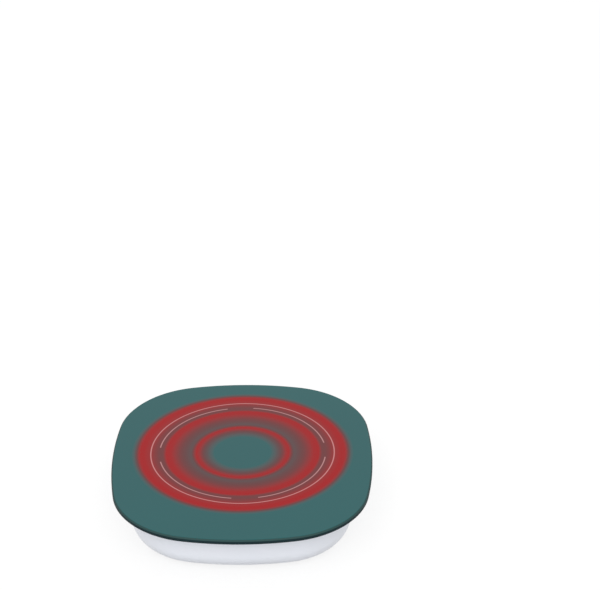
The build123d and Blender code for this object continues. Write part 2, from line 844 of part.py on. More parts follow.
# ------------------------------------------------------------------ indicator light
with BuildPart() as indicator_led:
    with BuildSketch(Plane.YZ.offset(switch_face_x)):
        with Locations((indicator_y, indicator_z)):
            Rectangle(led_width, led_height)
    extrude(amount=-led_depth)
    chamfer(indicator_led.edges().group_by(Axis.X)[-1], led_depth / 8)
indicator_led.part.label = "indicator_led"
export_step(indicator_led.part, "parts/indicator_led.step")

# Clear rod from the light to the outside of the flank, with a domed end and a collar
with BuildPart() as indicator_lens:
    side_sag = side_arc_radius - (side_arc_radius**2 - indicator_y**2) ** 0.5
    lens_end_x = plate_width / 2 - side_sag - wall_inset(indicator_z) + lens_proud
    lens_start_x = switch_face_x + lens_gap
    collar_x = lens_end_x - lens_proud - wall - lens_collar_gap - lens_collar_thickness
    with BuildSketch(Plane.YZ.offset(lens_start_x)):
        with Locations((indicator_y, indicator_z)):
            Circle(lens_radius)
    extrude(amount=lens_end_x - lens_start_x)
    fillet(indicator_lens.edges().sort_by(Axis.X)[-1], lens_radius / 2)
    with BuildSketch(Plane.YZ.offset(collar_x)):
        with Locations((indicator_y, indicator_z)):
            Circle(lens_collar_radius)
    extrude(amount=-lens_collar_thickness)
indicator_lens.part.label = "indicator_lens"
export_step(indicator_lens.part, "parts/indicator_lens.step")

# ------------------------------------------------------------------ power inlet
with BuildPart() as inlet_body:
    with BuildSketch(Plane.XZ.offset(-inlet_body_front)):
        with Locations((0, inlet_z)):
            Rectangle(inlet_body_width, inlet_body_height)
    extrude(amount=inlet_body_length)
    with BuildSketch(Plane.XZ.offset(-inlet_nose_front)):
        with Locations((0, inlet_z)):
            Circle(inlet_nose_radius)
    extrude(amount=inlet_nose_front - inlet_body_front)
    with BuildSketch(Plane.XZ.offset(-inlet_nose_front)):
        with Locations((0, inlet_z)):
            Circle(inlet_bore_radius)
    extrude(amount=inlet_bore_depth, mode=Mode.SUBTRACT)
    with BuildSketch(Plane.XZ.offset(-inlet_body_back)):
        with Locations((0, inlet_z)):
            Circle(inlet_tail_radius + inlet_fit)
        with Locations((contact_x, inlet_z)):
            Rectangle(contact_thickness + 2 * inlet_fit, contact_width + 2 * inlet_fit)
    extrude(amount=-(contact_reach + inlet_fit), mode=Mode.SUBTRACT)
inlet_body.part.label = "inlet_body"
export_step(inlet_body.part, "parts/inlet_body.step")

with BuildPart() as inlet_pin:
    with BuildSketch(Plane.XZ.offset(-inlet_bore_back)):
        with Locations((0, inlet_z)):
            Circle(inlet_pin_radius)
    extrude(amount=-(inlet_bore_depth - inlet_pin_setback))
    fillet(inlet_pin.edges().sort_by(Axis.Y)[-1], inlet_pin_radius / 2)
    with BuildSketch(Plane.XZ.offset(-inlet_bore_back)):
        with Locations((0, inlet_z)):
            Circle(inlet_tail_radius)
    extrude(amount=inlet_bore_back - inlet_tail_end)
inlet_pin.part.label = "inlet_pin"
export_step(inlet_pin.part, "parts/inlet_pin.step")

with BuildPart() as inlet_contact:
    with BuildSketch(Plane.XZ.offset(-inlet_tail_end)):
        with Locations((contact_x, inlet_z)):
            Rectangle(contact_thickness, contact_width)
    extrude(amount=-(inlet_tail_length + contact_reach))
inlet_contact.part.label = "inlet_contact"
export_step(inlet_contact.part, "parts/inlet_contact.step")

# ------------------------------------------------------------------ power switch and button
switch_back_x = switch_face_x - switch_depth
cavity_back_x = switch_back_x + switch_wall
collar_front_x = switch_face_x - switch_wall - collar_gap
collar_back_x = collar_front_x - plunger_collar_thickness

with BuildPart(Plane.YZ.offset(switch_back_x)) as switch_body:
    with Locations((button_y, board_top + switch_height / 2)):
        Box(
            switch_width,
            switch_height,
            switch_depth,
            align=(Align.CENTER, Align.CENTER, Align.MIN),
        )
    with Locations((button_y, button_z, switch_wall)):
        Cylinder(
            plunger_collar_radius + switch_cavity_clearance,
            switch_depth - 2 * switch_wall,
            align=(Align.CENTER, Align.CENTER, Align.MIN),
            mode=Mode.SUBTRACT,
        )
        Cylinder(
            plunger_radius + plunger_fit,
            switch_depth,
            align=(Align.CENTER, Align.CENTER, Align.MIN),
            mode=Mode.SUBTRACT,
        )
switch_body.part.label = "switch_body"
export_step(switch_body.part, "parts/switch_body.step")

# Rubber dome between the back of the switch and the plunger's collar
with BuildPart(Plane.YZ.offset(cavity_back_x)) as switch_dome:
    dome_height = collar_back_x - cavity_back_x
    with Locations((button_y, button_z)):
        Cone(
            plunger_collar_radius,
            dome_top_radius,
            dome_height,
            align=(Align.CENTER, Align.CENTER, Align.MIN),
        )
        Cone(
            plunger_collar_radius - dome_thickness,
            dome_top_radius - dome_thickness,
            dome_height - dome_thickness,
            align=(Align.CENTER, Align.CENTER, Align.MIN),
            mode=Mode.SUBTRACT,
        )
switch_dome.part.label = "switch_dome"
export_step(switch_dome.part, "parts/switch_dome.step")

with BuildPart(Plane.YZ.offset(collar_back_x)) as switch_plunger:
    with Locations((button_y, button_z)):
        Cylinder(
            plunger_collar_radius,
            plunger_collar_thickness,
            align=(Align.CENTER, Align.CENTER, Align.MIN),
        )
        Cylinder(
            plunger_radius,
            plunger_tip_x - collar_back_x,
            align=(Align.CENTER, Align.CENTER, Align.MIN),
        )
switch_plunger.part.label = "switch_plunger"
export_step(switch_plunger.part, "parts/switch_plunger.step")

with BuildPart() as power_button:
    with BuildSketch(Plane.YZ.offset(button_flange_inner)):
        with Locations((button_y, button_z)):
            SlotOverall(button_length, button_height)
    extrude(amount=flank_x + button_proud - button_flange_inner)
    fillet(power_button.faces().sort_by(Axis.X)[-1].edges(), button_edge_radius)
    with BuildSketch(Plane.YZ.offset(flank_x + button_proud)):
        with Locations((button_y, button_z)):
            SlotOverall(
                button_length - 2 * button_dish_margin, button_height - 2 * button_dish_margin
            )
    extrude(amount=-button_dish_depth, mode=Mode.SUBTRACT)
    with BuildSketch(Plane.YZ.offset(button_flange_inner)):
        with Locations((button_y, button_z)):
            SlotOverall(
                button_length + 2 * button_flange_margin, button_height + 2 * button_flange_margin
            )
    extrude(amount=button_flange_thickness)
    with BuildSketch(Plane.YZ.offset(plunger_tip_x)):
        with Locations((button_y, button_z)):
            Circle(button_stem_radius)
    extrude(amount=button_travel)
power_button.part.label = "power_button"
export_step(power_button.part, "parts/power_button.step")
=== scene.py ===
"""Electric mug warmer: the visible pieces and their finishes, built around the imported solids.

Each sub-assembly is a class that holds its sizes in millimetres, builds its meshes with bmesh
operators and dresses them. The frame is the solids' own: +Z up, the front at -Y, and the origin
on the table under the centre of the glass.
"""

import logging
from dataclasses import dataclass
from enum import Enum
from math import atan2, cos, hypot, pi, radians, sin, sqrt, tan

import bmesh
import bpy
from bmesh.types import BMesh, BMFace, BMVert
from bpy.types import ID, Material, Node, NodeOutputs, NodeSocket, NodeTree, Object
from mathutils import Matrix, Vector

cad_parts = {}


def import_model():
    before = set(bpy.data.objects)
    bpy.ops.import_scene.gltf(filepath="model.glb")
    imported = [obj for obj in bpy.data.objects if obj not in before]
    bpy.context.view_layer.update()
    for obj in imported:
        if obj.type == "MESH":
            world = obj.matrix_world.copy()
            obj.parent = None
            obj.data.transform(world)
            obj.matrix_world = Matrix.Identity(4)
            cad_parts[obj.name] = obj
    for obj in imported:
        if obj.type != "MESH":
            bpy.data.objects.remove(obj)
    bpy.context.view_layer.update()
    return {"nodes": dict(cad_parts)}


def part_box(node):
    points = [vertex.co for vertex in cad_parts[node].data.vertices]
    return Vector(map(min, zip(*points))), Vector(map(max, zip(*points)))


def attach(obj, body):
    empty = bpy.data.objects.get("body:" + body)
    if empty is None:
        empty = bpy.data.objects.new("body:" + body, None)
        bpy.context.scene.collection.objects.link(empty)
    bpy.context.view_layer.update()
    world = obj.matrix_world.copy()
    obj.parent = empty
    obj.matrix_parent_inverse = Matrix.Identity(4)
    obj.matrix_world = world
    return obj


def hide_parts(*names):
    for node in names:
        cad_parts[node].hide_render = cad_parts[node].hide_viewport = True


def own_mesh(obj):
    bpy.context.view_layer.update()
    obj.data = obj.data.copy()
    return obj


log = logging.getLogger("mug_warmer")

MM = 0.001
MERGE_DISTANCE = 0.0005
OVERSHOOT = 1.0
EDGE_STEPS = 5
HOLE_STEPS = 24
POST_STEPS = 32
SMOOTH_ANGLE = radians(33)

Colour = tuple[float, float, float]
Shown = tuple[int, int, int]
Point = tuple[float, float]
Place = tuple[float, float, float]
Feed = NodeSocket | float | Colour
Finishes = dict[str, Material]
Values = dict[str | int, Feed]


class Body(Enum):
    """The moving bodies of the warmer."""

    HOUSING = "housing"
    BUTTON = "button"


class Cut(Enum):
    """How one solid changes another."""

    ADD = "UNION"
    TAKE = "DIFFERENCE"


class Surface(Enum):
    """The shared effects of the plain finishes, by the names of their node groups."""

    MOULDED = "moulded_skin"
    ROLLED = "rolled_metal"
    SPECKLED = "scattered_specks"


def srgb(red: int, green: int, blue: int) -> Colour:
    """Turn display values from 0 to 255 into a linear colour.

    Args:
        red: Red as shown on a screen.
        green: Green as shown on a screen.
        blue: Blue as shown on a screen.

    Returns:
        The linear colour.
    """

    def linear(value: int) -> float:
        """Turn one channel into its linear value."""
        share = value / 255
        return share / 12.92 if share <= 0.04045 else ((share + 0.055) / 1.055) ** 2.4

    return (linear(red), linear(green), linear(blue))


# --------------------------------------------------------------------------------- outlines


def facing_up(face: BMFace) -> BMFace:
    """Turn a flat face so that it faces up.

    Args:
        face: The face.

    Returns:
        The same face.
    """
    face.normal_update()
    if face.normal.z < 0:
        face.normal_flip()
    return face


def sweep_arc(bm: BMesh, start: BMVert, centre: Point, angle: float, steps: int) -> BMVert:
    """Sweep a corner point round a centre, which leaves a chain of edges.

    Args:
        bm: The mesh that holds the point.
        start: The point where the arc starts.
        centre: The arc's centre in the plane of the outline.
        angle: The angle swept, in radians.
        steps: The number of edges in the arc.

    Returns:
        The last point of the arc.
    """
    swept = bmesh.ops.spin(
        bm,
        geom=[start],
        cent=(centre[0], centre[1], start.co.z),
        axis=(0, 0, 1),
        angle=angle,
        steps=steps,
        use_merge=False,
        use_duplicate=False,
    )
    return next(item for item in swept["geom_last"] if isinstance(item, BMVert))


def close_quadrant(bm: BMesh) -> BMFace:
    """Mirror a quarter of an outline in both axes and fill it.

    Args:
        bm: A mesh that holds only the quarter's chain of edges.

    Returns:
        The flat face inside the outline, facing up.
    """
    for axis in ("X", "Y"):
        bmesh.ops.mirror(
            bm,
            geom=bm.verts[:] + bm.edges[:],
            matrix=Matrix.Identity(4),
            merge_dist=MERGE_DISTANCE,
            axis=axis,
        )
    bmesh.ops.remove_doubles(bm, verts=bm.verts, dist=MERGE_DISTANCE)
    return facing_up(bmesh.ops.contextual_create(bm, geom=bm.edges[:])["faces"][0])


@dataclass(frozen=True)
class CrownedPlan:
    """Rounded square of four shallow arcs and four round corners."""

    half_width: float = 60.0
    half_depth: float = 66.0
    side_radius: float = 205.0
    end_radius: float = 131.0
    corner_radius: float = 41.0
    side_steps: int = 8
    corner_steps: int = 26

    def corner_centre(self) -> Point:
        """Find the point from which a corner arc touches its side arc and its end arc.

        Returns:
            The corner arc's centre.
        """
        side_x = self.half_width - self.side_radius
        end_y = self.half_depth - self.end_radius
        reach_side = self.side_radius - self.corner_radius
        reach_end = self.end_radius - self.corner_radius
        span = hypot(side_x, end_y)
        along = (reach_side**2 - reach_end**2 + span**2) / (2 * span)
        across = sqrt(reach_side**2 - along**2)
        step_x, step_y = -side_x / span, end_y / span
        return (side_x + along * step_x - across * step_y, along * step_y + across * step_x)

    def face(self, bm: BMesh, inset: float = 0.0) -> BMFace:
        """Build the filled outline in an empty mesh.

        Args:
            bm: An empty mesh.
            inset: How far the outline lies inside the glass edge.

        Returns:
            The flat face.
        """
        side_centre = (self.half_width - self.side_radius, 0.0)
        end_centre = (0.0, self.half_depth - self.end_radius)
        corner = self.corner_centre()
        side_angle = atan2(corner[1], corner[0] - side_centre[0])
        end_angle = atan2(corner[1] - end_centre[1], corner[0])
        point = bm.verts.new((self.half_width - inset, 0, 0))
        point = sweep_arc(bm, point, side_centre, side_angle, self.side_steps)
        point = sweep_arc(bm, point, corner, end_angle - side_angle, self.corner_steps)
        sweep_arc(bm, point, end_centre, pi / 2 - end_angle, self.side_steps)
        return close_quadrant(bm)


@dataclass(frozen=True)
class RoundedPlan:
    """Rectangle with round corners, or a slot where the corners fill its height."""

    width: float
    height: float
    corner: float
    steps: int = 8

    def grown(self, margin: float) -> "RoundedPlan":
        """Give the outline that lies a margin outside this one."""
        width, height = self.width + 2 * margin, self.height + 2 * margin
        return RoundedPlan(width, height, self.corner + margin, self.steps)

    def face(self, bm: BMesh, inset: float = 0.0) -> BMFace:
        """Build the filled outline in an empty mesh.

        Args:
            bm: An empty mesh.
            inset: How far the outline lies inside the given size.

        Returns:
            The flat face.
        """
        half_width, half_height = self.width / 2 - inset, self.height / 2 - inset
        corner = self.corner - inset
        first = start = bm.verts.new((half_width, 0, 0))
        if half_height - corner > MERGE_DISTANCE:
            start = bm.verts.new((half_width, half_height - corner, 0))
            bm.edges.new((first, start))
        centre = (half_width - corner, half_height - corner)
        end = sweep_arc(bm, start, centre, pi / 2, self.steps)
        if half_width - corner > MERGE_DISTANCE:
            bm.edges.new((end, bm.verts.new((0, half_height, 0))))
        return close_quadrant(bm)


@dataclass(frozen=True)
class RoundPlan:
    """Circle."""

    radius: float
    steps: int = 48

    def face(self, bm: BMesh, inset: float = 0.0) -> BMFace:
        """Build the filled circle in an empty mesh.

        Args:
            bm: An empty mesh.
            inset: How far the circle lies inside the given radius.

        Returns:
            The flat face.
        """
        radius = self.radius - inset
        bmesh.ops.create_circle(bm, cap_ends=True, radius=radius, segments=self.steps)
        return facing_up(bm.faces[:][0])


Plan = CrownedPlan | RoundedPlan | RoundPlan


# --------------------------------------------------------------------------------- solids


def lift(bm: BMesh, face: BMFace, profile: list[Point]) -> None:
    """Carry a flat face through a profile and leave walls behind it.

    Args:
        bm: The mesh that holds the face.
        face: The flat face that starts at the profile's first point.
        profile: Pairs of inset and height. The inset never shrinks.
    """
    for (inset, height), (next_inset, next_height) in zip(profile, profile[1:]):
        if next_inset - inset > MERGE_DISTANCE:
            bmesh.ops.inset_region(
                bm,
                faces=[face],
                thickness=next_inset - inset,
                use_boundary=True,
                use_even_offset=True,
            )
        else:
            face = bmesh.ops.extrude_discrete_faces(bm, faces=[face])["faces"][0]
        bmesh.ops.translate(bm, verts=face.verts[:], vec=(0, 0, next_height - height))


def lofted(plan: Plan, profile: list[Point], back: list[Point] | None = None) -> BMesh:
    """Build a closed solid whose sides follow a profile.

    Args:
        plan: The outline seen along the profile's axis.
        profile: Pairs of inset and height, from the widest ring to one end.
        back: Pairs from the widest ring to the other end, or None for a flat end.

    Returns:
        The solid.
    """
    bm = bmesh.new()
    face = plan.face(bm, profile[0][0])
    bmesh.ops.translate(bm, verts=bm.verts, vec=(0, 0, profile[0][1]))
    lift(bm, face, profile)
    rim = [edge for edge in bm.edges if edge.is_boundary]
    cap = bmesh.ops.contextual_create(bm, geom=rim)["faces"][0]
    if back:
        lift(bm, cap, back)
    bmesh.ops.recalc_face_normals(bm, faces=bm.faces)
    return bm


def prism(plan: Plan, low: float, high: float, inset: float = 0.0) -> BMesh:
    """Build a solid between two heights, with straight sides an inset inside the outline."""
    return lofted(plan, [(inset, low), (inset, high)])


def order_faces(bm: BMesh) -> None:
    """Order the faces by their points, since a spin's own order changes from run to run.

    Args:
        bm: A spun mesh, in which no two faces share both their first and their last point.
    """
    bm.verts.index_update()
    count = len(bm.verts)

    def rank(face: BMFace) -> int:
        """Number a face by its first and its last point."""
        numbers = [vert.index for vert in face.verts]
        return min(numbers) * count + max(numbers)

    bm.faces.sort(key=rank)


def turned(profile: list[Point], steps: int = 48) -> BMesh:
    """Build a closed solid of revolution about Z.

    Args:
        profile: Pairs of radius and height, which start and end on the axis.
        steps: The number of sides.

    Returns:
        The solid.
    """
    bm = bmesh.new()
    points = [bm.verts.new((radius, 0, height)) for radius, height in profile]
    for first, second in zip(points, points[1:]):
        bm.edges.new((first, second))
    bmesh.ops.spin(
        bm,
        geom=bm.verts[:] + bm.edges[:],
        cent=(0, 0, 0),
        axis=(0, 0, 1),
        angle=2 * pi,
        steps=steps,
        use_merge=True,
        use_duplicate=False,
    )
    order_faces(bm)
    bmesh.ops.remove_doubles(bm, verts=bm.verts, dist=MERGE_DISTANCE)
    bmesh.ops.recalc_face_normals(bm, faces=bm.faces)
    return bm


def rod(radius: float, low: float, high: float, steps: int = 48) -> BMesh:
    """Build a plain round rod about Z between two heights."""
    return turned([(0, low), (radius, low), (radius, high), (0, high)], steps)


def round_over(inset: float, height: float, radius: float, turn: float = 1.0) -> list[Point]:
    """Give the profile points of a rounded edge, from the wall to the end face.

    Args:
        inset: The inset of the wall.
        height: The height of the end face.
        radius: The edge radius.
        turn: 1.0 where the end face lies above the wall, -1.0 where it lies below.

    Returns:
        Pairs of inset and height.
    """
    angles = [pi / 2 * step / EDGE_STEPS for step in range(EDGE_STEPS + 1)]
    return [
        (inset + radius * (1 - cos(angle)), height - turn * radius * (1 - sin(angle)))
        for angle in angles
    ]


def at(x: float = 0.0, y: float = 0.0, z: float = 0.0) -> Matrix:
    """Give the transform that moves a solid to a place."""
    return Matrix.Translation((x, y, z))


def facing_right(x: float, y: float, z: float) -> Matrix:
    """Give the transform that turns a solid's axis to +X and its width to Y."""
    axes = Matrix(((0, 0, 1, 0), (1, 0, 0, 0), (0, 1, 0, 0), (0, 0, 0, 1)))
    return at(x, y, z) @ axes


def facing_rear(x: float, y: float, z: float) -> Matrix:
    """Give the transform that turns a solid's axis to +Y and keeps its width along X."""
    axes = Matrix(((-1, 0, 0, 0), (0, 0, 1, 0), (0, 1, 0, 0), (0, 0, 0, 1)))
    return at(x, y, z) @ axes


def corners(x: float, y: float, centre: Point = (0.0, 0.0)) -> list[Matrix]:
    """Give four places, one at each corner of a rectangle.

    Args:
        x: Half of the rectangle's width.
        y: Half of its depth.
        centre: Its centre.

    Returns:
        One transform for each corner, the front ones first.
    """
    return [
        at(centre[0] + side_x * x, centre[1] + side_y * y)
        for side_y in (-1, 1)
        for side_x in (-1, 1)
    ]


def moved(bm: BMesh, place: Matrix) -> BMesh:
    """Move a solid and give it back."""
    bmesh.ops.transform(bm, matrix=place, verts=bm.verts)
    return bm


def placed(bm: BMesh, places: list[Matrix]) -> BMesh:
    """Repeat a solid at several places.

    Args:
        bm: The solid, which is used up.
        places: One transform for each copy.

    Returns:
        A mesh with all the copies.
    """
    mesh = bpy.data.meshes.new("pattern")
    bm.to_mesh(mesh)
    bm.free()
    result = bmesh.new()
    for place in places:
        before = len(result.verts)
        result.from_mesh(mesh)
        result.verts.ensure_lookup_table()
        bmesh.ops.transform(result, matrix=place, verts=result.verts[before:])
    bpy.data.meshes.remove(mesh)
    return result


def new_object(name: str, data: ID) -> Object:
    """Put a mesh, a light or a camera into the scene.

    Args:
        name: The object's name.
        data: The mesh, light or camera.

    Returns:
        The new object.
    """
    made = bpy.data.objects.new(name, data)
    bpy.context.scene.collection.objects.link(made)
    return made


def new_mesh_object(name: str, bm: BMesh) -> Object:
    """Put a solid into the scene.

    Args:
        name: The object's name.
        bm: The solid, which is used up.

    Returns:
        The new object.
    """
    mesh = bpy.data.meshes.new(name)
    bm.to_mesh(mesh)
    bm.free()
    return new_object(name, mesh)


def carve(base: BMesh, tool: BMesh, cut: Cut) -> BMesh:
    """Add a solid to another, or take it away.

    Args:
        base: The solid to change, which is used up.
        tool: The other solid, which is used up.
        cut: Whether the tool is added or taken away.

    Returns:
        The changed solid.
    """
    pair = [new_mesh_object("carve_base", base), new_mesh_object("carve_tool", tool)]
    step = pair[0].modifiers.new("carve", "BOOLEAN")
    step.operation = cut.value
    step.solver = "EXACT"
    step.object = pair[1]
    evaluated = pair[0].evaluated_get(bpy.context.evaluated_depsgraph_get())
    result = bmesh.new()
    result.from_mesh(evaluated.to_mesh())
    evaluated.to_mesh_clear()
    for piece in pair:
        mesh = piece.data
        bpy.data.objects.remove(piece)
        bpy.data.meshes.remove(mesh)
    return result


def ring(plan: Plan, inset: float, width: float, low: float, high: float) -> BMesh:
    """Build a band of a width between two heights, whose outer side is inset in the outline."""
    inside = prism(plan, low - OVERSHOOT, high + OVERSHOOT, inset + width)
    return carve(prism(plan, low, high, inset), inside, Cut.TAKE)


def make_piece(
    name: str,
    bm: BMesh,
    finishes: Finishes,
    slot: str,
    *nodes: str,
    body: Body = Body.HOUSING,
) -> Object:
    """Turn a solid in millimetres into a smooth-shaded piece that rides on a body.

    Args:
        name: The piece's name.
        bm: The solid, which is used up.
        finishes: The materials by slot.
        slot: The record's material slot.
        nodes: The solids that it stands for.
        body: The body that carries it.

    Returns:
        The new object.
    """
    bmesh.ops.remove_doubles(bm, verts=bm.verts, dist=MERGE_DISTANCE)
    bmesh.ops.dissolve_degenerate(bm, edges=bm.edges, dist=MERGE_DISTANCE)
    bmesh.ops.scale(bm, vec=(MM, MM, MM), verts=bm.verts)
    piece = new_mesh_object(name, bm)
    piece.data.shade_smooth()
    piece.data.set_sharp_from_angle(angle=SMOOTH_ANGLE)
    piece.data.materials.append(finishes[slot])
    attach(piece, body.value)
    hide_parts(*nodes)
    log.info("%s: %d faces, for %s", name, len(piece.data.polygons), ", ".join(nodes))
    return piece


# --------------------------------------------------------------------------------- finishes


class Sketch:
    """A node tree with short calls for the nodes that the finishes use."""

    def __init__(self, tree: NodeTree) -> None:
        """Keep the tree."""
        self.tree = tree

    def feed(self, socket: NodeSocket, value: Feed) -> None:
        """Link a socket to an input, or write a plain value on it.

        Args:
            socket: The input.
            value: The output that feeds it, or its value.
        """
        if isinstance(value, NodeSocket):
            self.tree.links.new(value, socket)
        elif socket.type == "RGBA":
            socket.default_value = (*value, 1.0)
        else:
            socket.default_value = value

    def plug(self, node: Node, values: Values) -> None:
        """Feed several inputs of a node, by name or by number."""
        for key, value in values.items():
            self.feed(node.inputs[key], value)

    def node(self, kind: str, values: Values | None = None, **settings: object) -> Node:
        """Add a node.

        Args:
            kind: The node's type name, without its ShaderNode prefix.
            values: What its inputs are fed with, by name or by number.
            settings: Properties of the node.

        Returns:
            The node.
        """
        made = self.tree.nodes.new("ShaderNode" + kind)
        for key, value in settings.items():
            setattr(made, key, value)
        self.plug(made, values or {})
        return made

    def position(self) -> NodeSocket:
        """Give the place of a point in its piece, in metres."""
        return self.node("TexCoord").outputs["Object"]

    def split(self, vector: NodeSocket) -> list[NodeSocket]:
        """Take a vector apart."""
        return self.node("SeparateXYZ", {0: vector}).outputs[:]

    def math(self, operation: str, *values: Feed, clamp: bool = False) -> NodeSocket:
        """Add a Math node and give its result."""
        fed = dict(enumerate(values))
        return self.node("Math", fed, operation=operation, use_clamp=clamp).outputs[0]

    def mix(self, share: Feed, first: Feed, second: Feed) -> NodeSocket:
        """Add a colour mix and give its result."""
        return self.node("Mix", {0: share, 6: first, 7: second}, data_type="RGBA").outputs[2]

    def blend(self, share: Feed, first: Feed, second: Feed) -> NodeSocket:
        """Add a value mix and give its result."""
        return self.node("Mix", {0: share, 2: first, 3: second}, data_type="FLOAT").outputs[0]

    def noise(self, vector: NodeSocket, scale: Feed, detail: float) -> NodeSocket:
        """Add a noise texture and give its value."""
        fed = {"Vector": vector, "Scale": scale, "Detail": detail}
        return self.node("TexNoise", fed).outputs["Fac"]

    def swing(self, middle: Feed, spread: Feed, pattern: NodeSocket) -> NodeSocket:
        """Move a value up and down with a pattern that runs from 0 to 1."""
        offset = self.math("MULTIPLY", self.math("SUBTRACT", pattern, 0.5), spread)
        return self.math("ADD", middle, offset, clamp=True)

    def ramp(self, value: NodeSocket, stops: list[Point]) -> NodeSocket:
        """Add a grey ramp.

        Args:
            value: What the ramp is read at.
            stops: Pairs of place and level.

        Returns:
            The level.
        """
        made = self.node("ValToRGB", {0: value})
        scale = made.color_ramp.elements
        while len(scale) < len(stops):
            scale.new(0.5)
        for element, (place, level) in zip(scale, stops):
            element.position = place
            element.color = (level, level, level, 1.0)
        return made.outputs[0]

    def give(self, **values: NodeSocket) -> NodeTree:
        """Feed a group's outputs by name, and give back its tree."""
        self.plug(self.tree.nodes.new("NodeGroupOutput"), values)
        return self.tree


def shared_effect(
    surface: Surface, values: tuple[str, ...], gives: tuple[str, ...]
) -> tuple[Sketch, NodeOutputs]:
    """Start a node group that takes a position, two tones and named values.

    Args:
        surface: The effect.
        values: The names of its values.
        gives: The names of what it gives beside its colour.

    Returns:
        The group's sketch and what it takes.
    """
    tree = bpy.data.node_groups.new(surface.value, "ShaderNodeTree")
    sockets = [("INPUT", "Vector", "Position"), ("OUTPUT", "Color", "Color")]
    sockets += [("INPUT", "Color", label) for label in ("Tone", "Second Tone")]
    sockets += [("INPUT", "Float", label) for label in values]
    sockets += [("OUTPUT", "Float", label) for label in gives]
    for direction, kind, label in sockets:
        tree.interface.new_socket(label, in_out=direction, socket_type="NodeSocket" + kind)
    return Sketch(tree), tree.nodes.new("NodeGroupInput").outputs


class Effects:
    """The effects that several finishes share, each one node group."""

    shade_detail: float = 3.0
    grain_detail: float = 4.0
    scratch_detail: float = 5.0

    def __init__(self) -> None:
        """Build the groups once."""
        self.groups = {
            Surface.MOULDED: self.build_moulded(),
            Surface.ROLLED: self.build_rolled(),
            Surface.SPECKLED: self.build_speckled(),
        }

    def build_moulded(self) -> NodeTree:
        """Build the fine spark-eroded grain and slow shade changes of a moulded skin.

        Returns:
            The node group.
        """
        sketch, takes = shared_effect(
            Surface.MOULDED,
            ("Tone Scale", "Grain Scale", "Roughness", "Roughness Spread"),
            ("Roughness", "Height"),
        )
        slow = sketch.noise(takes["Position"], takes["Tone Scale"], self.shade_detail)
        return sketch.give(
            Color=sketch.mix(slow, takes["Tone"], takes["Second Tone"]),
            Roughness=sketch.swing(takes["Roughness"], takes["Roughness Spread"], slow),
            Height=sketch.noise(takes["Position"], takes["Grain Scale"], self.grain_detail),
        )

    def build_rolled(self) -> NodeTree:
        """Build the long fine scratches of rolled or brushed metal.

        Returns:
            The node group.
        """
        sketch, takes = shared_effect(
            Surface.ROLLED,
            ("Line Scale", "Stretch", "Roughness", "Roughness Spread"),
            ("Roughness", "Height"),
        )
        x, y, z = sketch.split(takes["Position"])
        long_x = sketch.math("DIVIDE", x, takes["Stretch"])
        drawn = sketch.node("CombineXYZ", {0: long_x, 1: y, 2: z})
        lines = sketch.noise(drawn.outputs[0], takes["Line Scale"], self.scratch_detail)
        return sketch.give(
            Color=sketch.mix(lines, takes["Tone"], takes["Second Tone"]),
            Roughness=sketch.swing(takes["Roughness"], takes["Roughness Spread"], lines),
            Height=lines,
        )

    @staticmethod
    def build_speckled() -> NodeTree:
        """Build small scattered flecks, as in fibre, mica and filled resin.

        Returns:
            The node group.
        """
        sketch, takes = shared_effect(
            Surface.SPECKLED, ("Speck Scale", "Ragged", "Cover", "Softness"), ("Mask", "Height")
        )
        position, scale = takes["Position"], takes["Speck Scale"]
        swirl = sketch.node("TexNoise", {"Vector": position, "Scale": scale})
        reach = sketch.math("DIVIDE", takes["Ragged"], scale)
        push = sketch.node("VectorMath", operation="SCALE")
        sketch.plug(push, {"Vector": swirl.outputs["Color"], "Scale": reach})
        warped = sketch.node("VectorMath", {0: position, 1: push.outputs[0]}, operation="ADD")
        cells = sketch.node("TexVoronoi", {"Vector": warped.outputs[0], "Scale": scale})
        edge = sketch.math("SUBTRACT", takes["Cover"], cells.outputs["Distance"])
        mask = sketch.math("DIVIDE", edge, takes["Softness"], clamp=True)
        return sketch.give(
            Color=sketch.mix(mask, takes["Tone"], takes["Second Tone"]),
            Mask=mask,
            Height=cells.outputs["Distance"],
        )


def new_material(name: str) -> tuple[Material, Sketch, Node]:
    """Start a material.

    Args:
        name: The material's name.

    Returns:
        The material, its sketch and its Principled shader.
    """
    material = bpy.data.materials.new(name)
    material.use_nodes = True
    tree = material.node_tree
    return material, Sketch(tree), tree.nodes["Principled BSDF"]


